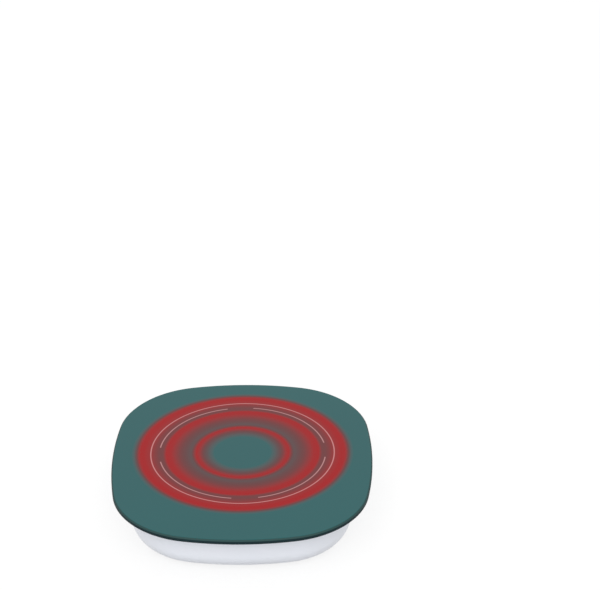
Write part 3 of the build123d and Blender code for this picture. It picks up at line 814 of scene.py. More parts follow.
@dataclass(frozen=True)
class Finish:
    """An opaque finish from one shared effect.

    The scale is in features per metre, and bump is the depth of the relief in metres.
    """

    tone: Colour
    second_tone: Colour
    roughness: float
    surface: Surface = Surface.MOULDED
    scale: float = 2500.0
    tone_scale: float = 40.0
    spread: float = 0.1
    metallic: float = 0.0
    bump: float = 0.00002
    bump_strength: float = 0.6
    stretch: float = 25.0
    cover: float = 0.3
    ragged: float = 1.2

    def effect_values(self) -> Values:
        """Give what the shared effect takes beside the position.

        Returns:
            The values by the names of the effect's inputs.
        """
        values: Values = {"Tone": self.tone, "Second Tone": self.second_tone}
        if self.surface is Surface.SPECKLED:
            values |= {"Speck Scale": self.scale, "Ragged": self.ragged}
            return values | {"Cover": self.cover, "Softness": self.spread}
        values |= {"Roughness": self.roughness, "Roughness Spread": self.spread}
        if self.surface is Surface.ROLLED:
            return values | {"Line Scale": self.scale, "Stretch": self.stretch}
        return values | {"Tone Scale": self.tone_scale, "Grain Scale": self.scale}

    def lay(self, sketch: Sketch, effects: Effects) -> NodeOutputs:
        """Place the shared effect in a material.

        Args:
            sketch: The material's sketch.
            effects: The shared effects.

        Returns:
            The outputs of the effect.
        """
        skin = sketch.node("Group", node_tree=effects.groups[self.surface])
        sketch.plug(skin, {"Position": sketch.position()} | self.effect_values())
        return skin.outputs

    def build(self, name: str, effects: Effects) -> Material:
        """Build the material.

        Args:
            name: The material's name.
            effects: The shared effects.

        Returns:
            The material.
        """
        material, sketch, shader = new_material(name)
        skin = self.lay(sketch, effects)
        relief = sketch.node("Bump", {"Strength": self.bump_strength, "Distance": self.bump})
        sketch.plug(relief, {"Height": skin["Height"]})
        rough = self.roughness if self.surface is Surface.SPECKLED else skin["Roughness"]
        sketch.plug(shader, {"Base Color": skin["Color"], "Roughness": rough})
        sketch.plug(shader, {"Metallic": self.metallic, "Normal": relief.outputs[0]})
        return material


@dataclass(frozen=True)
class PrintedGlass:
    """Toughened glass with its colour, soft red rings and fine silver rings printed behind it.

    Glow gives the strength of the red at radii in millimetres. Other lengths are in metres.
    Three heights part the flat top, the ground rim, the edge and the underside. The rim's tone is
    painted lighter than the edge's, though both are the same ground glass: a painted highlight
    along the bevel.
    """

    centre_y: float = 0.006
    glow: tuple[Point, ...] = (
        (0.0, 0.0),
        (13.0, 0.0),
        (15.5, 0.2),
        (17.5, 0.44),
        (20.0, 0.9),
        (21.4, 1.0),
        (22.3, 0.78),
        (23.6, 0.36),
        (24.4, 0.34),
        (28.4, 0.6),
        (33.0, 0.97),
        (35.2, 1.0),
        (36.8, 0.6),
        (38.2, 0.58),
        (42.0, 0.84),
        (45.5, 1.0),
        (47.2, 1.0),
        (48.2, 0.82),
        (49.4, 0.34),
        (50.2, 0.12),
        (51.4, 0.0),
    )
    glow_reach: float = 55.0
    dusk: float = 5.0
    teal: Finish = Finish(
        srgb(0, 76, 78), srgb(3, 81, 82), 0.05, scale=900.0, tone_scale=18.0, spread=0.05
    )
    red: Colour = srgb(149, 2, 8)
    silver: Colour = srgb(255, 194, 194)
    silver_cover: float = 0.35
    # painted highlight: the ground rim is lighter than the edge below it, which is the same ground
    # glass
    rim: Colour = srgb(40, 67, 66)
    edge: Colour = srgb(12, 36, 40)
    underside: Colour = srgb(10, 34, 36)
    flat_above: float = 0.02447
    rim_above: float = 0.02388
    edge_above: float = 0.02249
    ground_roughness: float = 0.6
    back_roughness: float = 0.55
    specular: float = 0.16
    sheen: float = 0.4
    sheen_roughness: float = 0.02
    sheen_ior: float = 1.4
    full_ring: float = 0.0424
    broken_ring: float = 0.0384
    line_width: float = 0.0005
    line_softness: float = 0.0002
    gap_angle: float = radians(18)
    gap_turn: float = radians(3)
    gap_sharpness: float = 300.0

    def line(self, sketch: Sketch, distance: NodeSocket, radius: float) -> NodeSocket:
        """Mask a thin printed circle.

        Args:
            sketch: The material's sketch.
            distance: The distance from the middle of the rings.
            radius: The circle's radius.

        Returns:
            1 on the line and 0 off it.
        """
        away = sketch.math("ABSOLUTE", sketch.math("SUBTRACT", distance, radius))
        inside = sketch.math("SUBTRACT", self.line_width / 2 + self.line_softness / 2, away)
        return sketch.math("DIVIDE", inside, self.line_softness, clamp=True)

    def lines(self, sketch: Sketch, plan: NodeSocket, distance: NodeSocket) -> NodeSocket:
        """Mask the full silver ring and the one that four gaps break.

        Args:
            sketch: The material's sketch.
            plan: The place in the plan of the rings.
            distance: The distance from their middle.

        Returns:
            1 on the lines and 0 off them.
        """
        x, y, _ = sketch.split(plan)
        angle = sketch.math("SUBTRACT", sketch.math("ARCTAN2", y, x), self.gap_turn)
        from_gap = sketch.math("PINGPONG", angle, pi / 4)
        past_gap = sketch.math("SUBTRACT", from_gap, self.gap_angle / 2)
        kept = sketch.math("MULTIPLY", past_gap, self.gap_sharpness, clamp=True)
        broken = sketch.math("MULTIPLY", self.line(sketch, distance, self.broken_ring), kept)
        return sketch.math("MAXIMUM", self.line(sketch, distance, self.full_ring), broken)

    def red_glow(self, sketch: Sketch, distance: NodeSocket) -> NodeSocket:
        """Give the strength of the red by the distance from the middle of the rings."""
        share = sketch.math("DIVIDE", distance, self.glow_reach * MM, clamp=True)
        return sketch.ramp(share, [(radius / self.glow_reach, red) for radius, red in self.glow])

    def build(self, name: str, effects: Effects) -> Material:
        """Build the material.

        Args:
            name: The material's name.
            effects: The shared effects.

        Returns:
            The material.
        """
        material, sketch, shader = new_material(name)
        position = sketch.position()
        centring = {"Vector": position, "Location": (0, -self.centre_y, 0), "Scale": (1, 1, 0)}
        plan = sketch.node("Mapping", centring).outputs[0]
        distance = sketch.node("VectorMath", {0: plan}, operation="LENGTH").outputs["Value"]
        skin = self.teal.lay(sketch, effects)

        glow = self.red_glow(sketch, distance)
        lines = self.lines(sketch, plan, distance)
        colour = sketch.mix(glow, skin["Color"], self.red)
        halfway = sketch.math("MULTIPLY", glow, sketch.math("SUBTRACT", 1.0, glow))
        dusk = sketch.math("MULTIPLY", sketch.math("MULTIPLY", halfway, halfway), self.dusk)
        colour = sketch.mix(dusk, colour, (0.0, 0.0, 0.0))
        colour = sketch.mix(sketch.math("MULTIPLY", lines, self.silver_cover), colour, self.silver)

        height = sketch.split(position)[2]
        flat = sketch.math("GREATER_THAN", height, self.flat_above)
        above_edge = sketch.math("GREATER_THAN", height, self.rim_above)
        above_back = sketch.math("GREATER_THAN", height, self.edge_above)
        # the rim's lighter tone here is a painted highlight along the bevel
        side = sketch.mix(above_back, self.underside, sketch.mix(above_edge, self.edge, self.rim))
        ground = sketch.blend(above_back, self.back_roughness, self.ground_roughness)
        bare = sketch.math("SUBTRACT", 1.0, sketch.math("MAXIMUM", glow, lines))
        sheen = sketch.math("MULTIPLY", sketch.math("MULTIPLY", flat, bare), self.sheen)
        rough = sketch.blend(flat, ground, skin["Roughness"])
        sketch.plug(shader, {"Base Color": sketch.mix(flat, side, colour), "Roughness": rough})
        sketch.plug(shader, {"Coat Weight": sheen, "Specular IOR Level": self.specular})
        sketch.plug(shader, {"Coat Roughness": self.sheen_roughness, "Coat IOR": self.sheen_ior})
        return material


@dataclass(frozen=True)
class ClearMoulding:
    """Clear plastic with a faintly frosted skin."""

    frost: Finish = Finish(
        srgb(236, 240, 242), srgb(224, 230, 234), 0.18, scale=6000.0, tone_scale=400.0, spread=0.08
    )
    clearness: float = 0.35
    ior: float = 1.58

    def build(self, name: str, effects: Effects) -> Material:
        """Build the material.

        Args:
            name: The material's name.
            effects: The shared effects.

        Returns:
            The material.
        """
        material, sketch, shader = new_material(name)
        skin = self.frost.lay(sketch, effects)
        sketch.plug(shader, {"Base Color": skin["Color"], "Roughness": skin["Roughness"]})
        sketch.plug(shader, {"Transmission Weight": self.clearness, "IOR": self.ior})
        return material


def moulded(
    tone: Shown, second_tone: Shown, roughness: float, **values: float | Surface
) -> Finish:
    """Give a finish, moulded if no surface is named, from two display colours."""
    return Finish(srgb(*tone), srgb(*second_tone), roughness, **values)


def metal(tone: Shown, second_tone: Shown, roughness: float, **values: float) -> Finish:
    """Give a rolled metal finish from two display colours."""
    return moulded(tone, second_tone, roughness, surface=Surface.ROLLED, metallic=1.0, **values)


def flecked(tone: Shown, second_tone: Shown, roughness: float, **values: float) -> Finish:
    """Give a speckled finish from two display colours."""
    return moulded(tone, second_tone, roughness, surface=Surface.SPECKLED, **values)


def finish_table() -> dict[str, Finish | PrintedGlass | ClearMoulding]:
    """List one finish for each material slot of the record.

    Returns:
        The finishes by slot.
    """
    return {
        "tempered_glass": PrintedGlass(),
        "clear_lens": ClearMoulding(),
        "white_housing": moulded((231, 234, 241), (227, 230, 238), 0.34, spread=0.08, bump=1e-5),
        "button_white": moulded((236, 238, 243), (232, 234, 240), 0.28, spread=0.06, bump=8e-6),
        "foot_rubber": moulded((52, 54, 57), (43, 45, 48), 0.82, scale=1800.0, bump=5e-5),
        "black_seal": moulded((30, 31, 33), (22, 23, 24), 0.9, scale=2200.0, bump=8e-5),
        "grey_silicone": moulded((132, 136, 140), (120, 124, 129), 0.6, scale=1500.0),
        "dome_rubber": moulded((74, 76, 80), (66, 68, 72), 0.7, scale=2000.0),
        "black_moulding": moulded((33, 34, 36), (27, 28, 30), 0.42, scale=3000.0, bump=1e-5),
        "sensor_resin": moulded((28, 52, 40), (20, 40, 30), 0.25, scale=900.0),
        "led_resin": moulded((236, 232, 214), (228, 222, 196), 0.3),
        "red_wire": moulded((164, 26, 22), (148, 20, 18), 0.4, scale=1500.0),
        "black_wire": moulded((30, 30, 32), (24, 24, 26), 0.4, scale=1500.0),
        "white_wire": moulded((222, 221, 216), (212, 210, 204), 0.4, scale=1500.0),
        "board_laminate": flecked((20, 84, 48), (22, 90, 52), 0.38, scale=1400.0, cover=0.42),
        "mica": flecked(
            (184, 164, 128), (210, 194, 160), 0.35, scale=520.0, spread=0.6, cover=0.75, ragged=1.8
        ),
        "ceramic_fibre": flecked(
            (228, 225, 217), (206, 202, 192), 0.95, scale=1100.0, spread=0.3, cover=0.4, bump=15e-5
        ),
        "spreader_aluminium": metal((205, 207, 210), (184, 186, 190), 0.34),
        "resistance_foil": metal((168, 158, 142), (148, 138, 124), 0.3, scale=3000.0),
        "plated_steel": metal((188, 190, 192), (168, 170, 174), 0.38, scale=2200.0),
        "zinc_screw": metal((196, 200, 206), (170, 176, 186), 0.3, scale=1200.0, stretch=1.5),
        "fuse_case": metal((198, 178, 138), (182, 162, 122), 0.3, scale=2000.0),
        "capacitor_can": metal((190, 192, 196), (174, 176, 180), 0.32, scale=2000.0),
        "brass_contact": metal((212, 176, 102), (194, 156, 84), 0.26),
    }


# --------------------------------------------------------------------------------- sub-assemblies


@dataclass
class GlassTop:
    """The printed glass plate and the foam seal under it.

    Each arris is stepped round in pairs of inset and height, counted in its width. The hold is
    a narrow ring that keeps a flat face's shading flat.
    """

    plan: CrownedPlan = CrownedPlan()
    bottom: float = 22.2
    top: float = 24.5
    bevel: float = 0.6
    back_bevel: float = 0.3
    arris: float = 0.06
    side_arris: tuple[Point, ...] = ((0.0, -2.0), (0.3, -0.6), (1.2, 0.6))
    top_arris: tuple[Point, ...] = ((-0.6, -1.2), (0.6, -0.3), (2.0, 0.0))
    back_side_arris: tuple[Point, ...] = ((0.0, 1.0), (0.4, -0.2))
    bottom_arris: tuple[Point, ...] = ((-0.2, 0.4), (1.0, 0.0))
    hold: float = 0.4
    seal_bottom: float = 21.8
    seal_inset: float = 8.4
    seal_width: float = 2.0

    def build(self, finishes: Finishes) -> None:
        """Build both pieces.

        Args:
            finishes: The materials by slot.
        """
        make_piece("glass_top", self.plate(), finishes, "tempered_glass", "glass_plate")
        seal = ring(self.plan, self.seal_inset, self.seal_width, self.seal_bottom, self.bottom)
        make_piece("glass_seal", seal, finishes, "black_seal", "glass_gasket")

    def softened(self, inset: float, height: float, steps: tuple[Point, ...]) -> list[Point]:
        """Give the profile points round one arris, whose steps are in widths of the arris."""
        wide = self.arris
        return [(inset + wide * across, height + wide * rise) for across, rise in steps]

    def plate(self) -> BMesh:
        """Build the plate with its ground bevels and softened arrises.

        Returns:
            The solid.
        """
        bevel, back = self.bevel, self.back_bevel
        foot = self.softened(0.0, self.bottom + back, self.back_side_arris)
        upper = [
            foot[0],
            *self.softened(0.0, self.top - bevel, self.side_arris),
            *self.softened(bevel, self.top, self.top_arris),
            (bevel + self.hold, self.top),
        ]
        lower = [
            *foot,
            *self.softened(back, self.bottom, self.bottom_arris),
            (back + self.hold, self.bottom),
        ]
        return lofted(self.plan, upper, lower)


@dataclass
class Case:
    """The white bowl, the tray that closes it, and the four screws between them.

    Each bore is a pair of its lower and upper end. The screw's profile gives radii and heights
    over its seat, and its cross is cut upwards from the start given there.
    """

    plan: CrownedPlan = CrownedPlan()
    glass_bottom: float = 22.2
    inset: float = 7.2
    draft: float = radians(5)
    wall: float = 2.0
    bottom: float = 1.0
    bottom_radius: float = 10.0
    bend_steps: int = 12
    hold: float = 0.4
    soft_edge: float = 0.25
    parting: float = 20.0
    parting_bevel: float = 0.25
    tray_top: float = 21.8
    tray_edge_radius: float = 0.4
    tray_root: float = 0.9
    tray_boss_radius: float = 3.0
    heater_centre: Point = (0.0, 6.0)
    heater_radius: float = 45.0
    heater_opening: float = 45.8
    heater_opening_top: float = 30.0
    ear_radius: float = 2.6
    ear_reach: float = 5.2
    ear_angles: tuple[float, ...] = (60.0, 120.0, 240.0, 300.0)
    ear_bottom: float = 15.7
    ear_bore: Point = (15.0, 20.3)
    tongue_height: float = 2.4
    tongue_thickness: float = 1.2
    tongue_clearance: float = 0.15
    screw_x: float = 37.2
    screw_y: float = 39.2
    screw_seat: float = 5.0
    screw_hole: float = 1.55
    screw_bore: Point = (6.0, 17.6)
    well_radius: float = 3.2
    boss_radius: float = 4.6
    boss_top: float = 7.0
    pilot_hole: float = 1.05
    standoff_height: float = 3.0
    standoff_radius: float = 2.4
    board_centre: Point = (8.53, 7.0)
    board_hole: Point = (27.5, 16.5)
    surround: RoundedPlan = RoundedPlan(16.0, 13.0, 2.0)
    surround_depth: float = 13.0
    surround_edge: float = 0.5
    inlet_axis: float = 8.4
    inlet_face: float = 58.76
    inlet_wall: float = 2.4
    inlet_hole: float = 4.1
    inlet_hole_depth: float = 14.0
    inlet_pocket: RoundedPlan = RoundedPlan(9.4, 9.4, 0.4, 2)
    inlet_pocket_depth: float = 15.8
    button_place: Place = (46.0, 8.0, 12.2)
    button_slot: RoundedPlan = RoundedPlan(14.6, 5.6, 2.8, 12)
    button_rim: float = 6.4
    button_cut: float = 12.0
    lens_place: Place = (46.0, 20.0, 9.2)
    lens_hole: float = 1.55
    lens_cut: float = 9.0
    foot_x: float = 32.0
    foot_y: float = 30.0
    foot_recess: float = 5.6
    foot_recess_top: float = 2.0
    vent: RoundedPlan = RoundedPlan(2.0, 18.0, 1.0)
    vent_pitch: float = 5.0
    vents_each_side: int = 3
    vent_y: float = -22.0
    panel: RoundedPlan = RoundedPlan(44.0, 22.0, 2.0)
    panel_y: float = 18.0
    panel_sink: float = 0.3
    panel_draft: float = 0.1
    screw_profile: tuple[Point, ...] = (
        (0.0, 12.0),
        (1.0, 12.0),
        (1.5, 11.5),
        (1.5, 0.0),
        (2.8, 0.0),
        (2.8, -1.1),
        (2.65, -1.5),
        (2.3, -1.75),
        (1.9, -1.8),
        (0.0, -1.8),
    )
    cross_length: float = 3.6
    cross_width: float = 0.6
    cross_corner: float = 0.1
    cross_taper: float = 0.12
    cross_depth: float = 0.85
    cross_start: float = -1.85

    def screw_places(self) -> list[Matrix]:
        """Give the places of the four case screws."""
        return corners(self.screw_x, self.screw_y)

    def board_places(self) -> list[Matrix]:
        """Give the places of the board's four standoffs."""
        return corners(*self.board_hole, centre=self.board_centre)

    def ear_places(self) -> list[Matrix]:
        """Give the places of the four ears round the heater.

        Returns:
            One transform for each ear.
        """
        reach = self.heater_radius + self.ear_reach
        x, y = self.heater_centre
        turns = [radians(angle) for angle in self.ear_angles]
        return [at(x + reach * cos(turn), y + reach * sin(turn)) for turn in turns]

    def wall_inset(self, height: float) -> float:
        """Give the distance from the glass edge in to the outer face at a height."""
        return self.inset + (self.glass_bottom - height) * tan(self.draft)

    def bowl_profile(self, top: float, thickness: float) -> list[Point]:
        """Give the profile of the bowl, a thickness inside its outer face.

        Args:
            top: The height where the profile starts.
            thickness: The distance inside the outer face.

        Returns:
            Pairs of inset and height, from the top down to the middle of the floor.
        """
        radius = self.bottom_radius - thickness
        floor = self.bottom + thickness
        centre_z = floor + radius
        centre_inset = self.wall_inset(centre_z) + thickness + radius / cos(self.draft)
        swing = (pi / 2 - self.draft) / self.bend_steps
        angles = [self.draft + swing * step for step in range(self.bend_steps + 1)]
        bend = [
            (centre_inset - radius * cos(angle), centre_z - radius * sin(angle))
            for angle in angles
        ]
        start = (self.wall_inset(top) + thickness, top)
        return [start, *bend, (centre_inset + self.hold, floor)]

    def build(self, finishes: Finishes) -> None:
        """Build the bowl, the tray and the screws.

        Args:
            finishes: The materials by slot.
        """
        make_piece("bowl", self.bowl(), finishes, "white_housing", "lower_housing")
        make_piece("tray", self.tray(), finishes, "white_housing", "upper_housing")
        make_piece("case_screws", self.screws(), finishes, "zinc_screw", "housing_screws")

    def bowl(self) -> BMesh:
        """Build the bowl with its posts, openings, wells and recesses.

        Returns:
            The solid.
        """
        edge = self.parting_bevel
        outside = self.bowl_profile(self.parting - edge, 0.0)
        rim = [outside[0], (outside[0][0] + edge, self.parting)]
        solid = lofted(self.plan, outside, rim)
        inlet = facing_rear(0.0, self.inlet_face, self.inlet_axis)
        profile = [(0.0, -self.surround_depth), *round_over(0.0, 0.0, self.surround_edge)]
        solid = carve(solid, moved(lofted(self.surround, profile), inlet), Cut.ADD)
        floor = self.bottom + self.wall
        stand_top = floor + self.standoff_height
        top = self.parting + 2 * OVERSHOOT
        hollow = lofted(self.plan, self.bowl_profile(top, self.wall))
        boss = rod(self.boss_radius, floor - OVERSHOOT, self.boss_top)
        standoff = rod(self.standoff_radius, floor - OVERSHOOT, stand_top, HOLE_STEPS)
        hollow = carve(hollow, placed(boss, self.screw_places()), Cut.TAKE)
        hollow = carve(hollow, placed(standoff, self.board_places()), Cut.TAKE)
        pilot = rod(self.pilot_hole, floor, stand_top + OVERSHOOT, HOLE_STEPS)
        pilots = placed(pilot, self.board_places())
        for tool in (hollow, *self.wall_openings(inlet), *self.floor_openings(), pilots):
            solid = carve(solid, tool, Cut.TAKE)
        return solid

    def wall_openings(self, inlet: Matrix) -> list[BMesh]:
        """Build what opens the bowl's walls.

        Args:
            inlet: The place of the inlet's face.

        Returns:
            The inlet's pocket and hole, the button's slot and the light guide's hole.
        """
        soft = self.soft_edge
        pocket = prism(self.inlet_pocket, -self.inlet_pocket_depth, -self.inlet_wall)
        radius, depth = self.inlet_hole, self.inlet_hole_depth
        nose = turned(
            [(0, -depth), (radius, -depth), (radius, -soft), (radius + 2 * soft, soft), (0, soft)]
        )
        rim, eased = self.button_rim, 2 * soft
        slot = lofted(
            self.button_slot.grown(eased),
            [(0.0, self.button_cut), (0.0, rim), (eased, rim - eased), (eased, 0.0)],
        )
        lens = rod(self.lens_hole, 0, self.lens_cut, HOLE_STEPS)
        return [
            moved(pocket, inlet),
            moved(nose, inlet),
            moved(slot, facing_right(*self.button_place)),
            moved(lens, facing_right(*self.lens_place)),
        ]

    def floor_openings(self) -> list[BMesh]:
        """Build what opens the floor.

        Returns:
            The screw wells, the foot recesses, the vents and the sunken panel.
        """
        under, seat, hole = self.bottom, self.screw_seat, self.screw_hole
        flare, through = under + self.soft_edge, self.boss_top + OVERSHOOT
        well, recess = (
            [(0, 0), (radius + flare, 0), (radius, flare), (radius, top)]
            for radius, top in ((self.well_radius, seat), (self.foot_recess, self.foot_recess_top))
        )
        well += [(hole, seat), (hole, through), (0, through)]
        recess += [(0, self.foot_recess_top)]
        vent = lofted(
            self.vent.grown(flare),
            [(0.0, 0.0), (flare, flare), (flare, under + self.wall + OVERSHOOT)],
        )
        panel = lofted(
            self.panel.grown(under),
            [(0.0, 0.0), (under, under), (under + self.panel_draft, under + self.panel_sink)],
        )
        row = range(-self.vents_each_side, self.vents_each_side + 1)
        return [
            placed(turned(well), self.screw_places()),
            placed(turned(recess), corners(self.foot_x, self.foot_y)),
            placed(vent, [at(self.vent_pitch * step, self.vent_y) for step in row]),
            moved(panel, at(y=self.panel_y)),
        ]

    def tray(self) -> BMesh:
        """Build the flat tray with its tongue, bosses and the opening for the heater.

        Returns:
            The solid.
        """
        low, high, edge = self.parting, self.tray_top, self.parting_bevel
        side = self.wall_inset(low + edge)
        start = (side, low + edge)
        top = round_over(self.wall_inset(high), high, self.tray_edge_radius)
        solid = lofted(self.plan, [start, *top], [start, (side + edge, low)])
        root, tip = low + self.tray_root, low - self.tongue_height
        tongue_inset = self.wall_inset(tip) + self.wall + self.tongue_clearance
        boss = rod(self.tray_boss_radius, self.boss_top, root, POST_STEPS)
        ear = rod(self.ear_radius, self.ear_bottom, root, POST_STEPS)
        for extra in (
            ring(self.plan, tongue_inset, self.tongue_thickness, tip, root),
            placed(boss, self.screw_places()),
            placed(ear, self.ear_places()),
        ):
            solid = carve(solid, extra, Cut.ADD)
        below = self.ear_bottom - OVERSHOOT
        opening = rod(self.heater_opening, below, self.heater_opening_top, steps=144)
        for tool in (
            moved(opening, at(*self.heater_centre)),
            placed(rod(self.screw_hole, *self.screw_bore, HOLE_STEPS), self.screw_places()),
            placed(rod(self.pilot_hole, *self.ear_bore, HOLE_STEPS), self.ear_places()),
        ):
            solid = carve(solid, tool, Cut.TAKE)
        return solid

    def screws(self) -> BMesh:
        """Build the four pan-head screws with cross recesses.

        Returns:
            The four solids in one mesh.
        """
        seat = self.screw_seat
        long, slim = self.cross_length, self.cross_width
        taper = [(0.0, 0.0), (self.cross_taper, self.cross_depth)]
        arms = [
            lofted(RoundedPlan(*size, self.cross_corner, 2), taper)
            for size in ((long, slim), (slim, long))
        ]
        cross = moved(carve(*arms, Cut.ADD), at(z=seat + self.cross_start))
        body = turned([(radius, seat + height) for radius, height in self.screw_profile], steps=40)
        return placed(carve(body, cross, Cut.TAKE), self.screw_places())


@dataclass
class Feet:
    """Four rubber feet, pressed into round recesses.

    The dish's slope gives depths at distances from its rim.
    """

    radius: float = 5.5
    thickness: float = 2.0
    edge_radius: float = 0.4
    dish_margin: float = 1.5
    dish_slope: tuple[Point, ...] = ((0.0, 0.0), (0.15, 0.08), (0.3, 0.3), (0.5, 0.3))
    x: float = 32.0
    y: float = 30.0

    def build(self, finishes: Finishes) -> None:
        """Build each foot where its recess is.

        Args:
            finishes: The materials by slot.
        """
        profile = [
            (0.0, self.thickness),
            *round_over(0.0, 0.0, self.edge_radius, -1.0),
            *[(self.dish_margin + across, depth) for across, depth in self.dish_slope],
        ]
        for row, y in (("front", -self.y), ("rear", self.y)):
            for column, x in (("left", -self.x), ("right", self.x)):
                pad = moved(lofted(RoundPlan(self.radius), profile), at(x, y))
                place = f"{row}_{column}"
                make_piece("foot_pad_" + place, pad, finishes, "foot_rubber", "foot_" + place)


@dataclass
class PressButton:
    """The power button in the right flank and the clear light guide beside it.

    The dish's slope gives depths at distances from its rim.
    """

    cap: RoundedPlan = RoundedPlan(14.0, 5.0, 2.5, 14)
    y: float = 8.0
    z: float = 12.2
    flange_inner: float = 47.03
    flange_margin: float = 1.4
    flange_thickness: float = 1.2
    face: float = 53.33
    edge_radius: float = 0.6
    dish_margin: float = 1.2
    dish_slope: tuple[Point, ...] = (
        (-0.08, 0.0),
        (0.06, 0.06),
        (0.22, 0.26),
        (0.4, 0.3),
        (0.6, 0.3),
    )
    stem_radius: float = 2.2
    stem_length: float = 1.0
    stem_root: float = 0.5
    lens_y: float = 20.0
    lens_z: float = 9.2
    lens_radius: float = 1.5
    lens_dome: float = 0.75
    collar_radius: float = 2.1
    collar_thickness: float = 1.0
    collar_setback: float = 5.5

    def build(self, finishes: Finishes) -> None:
        """Build the button, which moves, and the light guide, which stays.

        Args:
            finishes: The materials by slot.
        """
        cap = self.button()
        make_piece(
            "press_button", cap, finishes, "button_white", "power_button", body=Body.BUTTON
        )
        low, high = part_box("indicator_lens")
        lens = self.lens(low.x / MM, high.x / MM)
        make_piece("light_guide", lens, finishes, "clear_lens", "indicator_lens")

    def button(self) -> BMesh:
        """Build the dished cap with its flange and stem.

        Returns:
            The solid.
        """
        margin = self.flange_margin
        top = self.face - self.flange_inner
        dish = margin + self.dish_margin
        profile = [
            (0.0, 0.0),
            (0.0, self.flange_thickness),
            (margin, self.flange_thickness),
            (margin, top - self.edge_radius),
            *round_over(margin, top, self.edge_radius)[1:],
            *[(dish + across, top - depth) for across, depth in self.dish_slope],
        ]
        solid = lofted(self.cap.grown(margin), profile)
        stem = rod(self.stem_radius, -self.stem_length, self.stem_root, POST_STEPS)
        solid = carve(solid, stem, Cut.ADD)
        return moved(solid, facing_right(self.flange_inner, self.y, self.z))

    def lens(self, start: float, end: float) -> BMesh:
        """Build the light guide: a rod with a domed end and a collar.

        Args:
            start: Where the rod starts.
            end: Where the dome ends.

        Returns:
            The solid.
        """
        radius, wide = self.lens_radius, self.collar_radius
        back = end - self.collar_setback
        front = back + self.collar_thickness
        dome = round_over(0.0, end, self.lens_dome)
        profile = [
            (0, start),
            (radius, start),
            (radius, back),
            (wide, back),
            (wide, front),
            (radius, front),
            *[(radius - inset, height) for inset, height in dome],
            (0, end),
        ]
        return moved(turned(profile, steps=36), facing_right(0.0, self.lens_y, self.lens_z))


@dataclass
class ReturnDome:
    """The rubber dome that pushes the button back; the real dome flattens under the plunger, while
    this piece keeps its rest shape.
    """

    y: float = 8.0
    z: float = 12.2
    base_radius: float = 1.6
    top_radius: float = 0.95
    wall: float = 0.35
    travel: float = 1.0

    def build(self, finishes: Finishes) -> None:
        """Build the dome between the back of the switch and the plunger.

        Args:
            finishes: The materials by slot.
        """
        low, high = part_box("switch_dome")
        height = (high.x - low.x) / MM
        base, top, wall = self.base_radius, self.top_radius, self.wall
        profile = [
            (0, height - wall),
            (top - wall, height - wall),
            (base - wall, 0),
            (base, 0),
            (top, height),
            (0, height),
        ]
        solid = moved(turned(profile, steps=36), facing_right(low.x / MM, self.y, self.z))
        dome = make_piece("return_dome", solid, finishes, "dome_rubber", "switch_dome")
        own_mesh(dome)


@dataclass
class PowerInlet:
    """The round power socket in the rear wall, with its centre pin."""

    face_y: float = 58.56
    axis_z: float = 8.4
    block: RoundedPlan = RoundedPlan(9.0, 9.0, 0.4, 3)
    block_length: float = 13.0
    nose_length: float = 2.4
    nose_radius: float = 4.0
    nose_edge: float = 0.25
    nose_arris: float = 0.07
    bore_radius: float = 2.85
    bore_depth: float = 9.5
    bore_flare: float = 0.35
    pin_radius: float = 1.0
    pin_setback: float = 0.8
    tail_radius: float = 0.5
    tail_length: float = 3.0
    tail_clearance: float = 0.05
    tail_hole_end: float = -9.0
    leaf: RoundedPlan = RoundedPlan(0.5, 1.7, 0.05, 2)
    leaf_length: float = 10.05
    leaf_x: float = -3.25

    def build(self, finishes: Finishes) -> None:
        """Build the socket's body and its pin."""
        make_piece("inlet_socket", self.socket(), finishes, "black_moulding", "inlet_body")
        make_piece("inlet_centre_pin", self.pin(), finishes, "brass_contact", "inlet_pin")

    def socket(self) -> BMesh:
        """Build the block with its round nose, its bore and the holes for the contacts.

        Returns:
            The solid.
        """
        soft, arris, nose = self.nose_edge, self.nose_arris, self.nose_radius
        bore, flare = self.bore_radius, self.bore_flare
        back = -self.nose_length - self.block_length
        behind, root = back - OVERSHOOT, -self.nose_length - OVERSHOOT
        solid = prism(self.block, back, -self.nose_length)
        edge = [(nose, -soft), (nose - arris, -arris), (nose - soft, 0)]
        solid = carve(solid, turned([(0, root), (nose, root), *edge, (0, 0)]), Cut.ADD)
        mouth = [(bore, -flare), (bore + 2 * flare, flare), (0, flare)]
        for tool in (
            turned([(0, -self.bore_depth), (bore, -self.bore_depth), *mouth]),
            rod(self.tail_radius + self.tail_clearance, behind, self.tail_hole_end, HOLE_STEPS),
            moved(prism(self.leaf, behind, back + self.leaf_length), at(self.leaf_x)),
        ):
            solid = carve(solid, tool, Cut.TAKE)
        return moved(solid, facing_rear(0.0, self.face_y, self.axis_z))

    def pin(self) -> BMesh:
        """Build the pin with its rounded tip and its thin tail.

        Returns:
            The solid.
        """
        tip = -self.pin_setback
        back = -self.nose_length - self.block_length - self.tail_length
        radius = self.pin_radius
        profile = [
            (0, back),
            (self.tail_radius, back),
            (self.tail_radius, -self.bore_depth),
            (radius, -self.bore_depth),
            *[(radius - inset, height) for inset, height in round_over(0.0, tip, radius / 2)],
            (0, tip),
        ]
        return moved(turned(profile, POST_STEPS), facing_rear(0.0, self.face_y, self.axis_z))


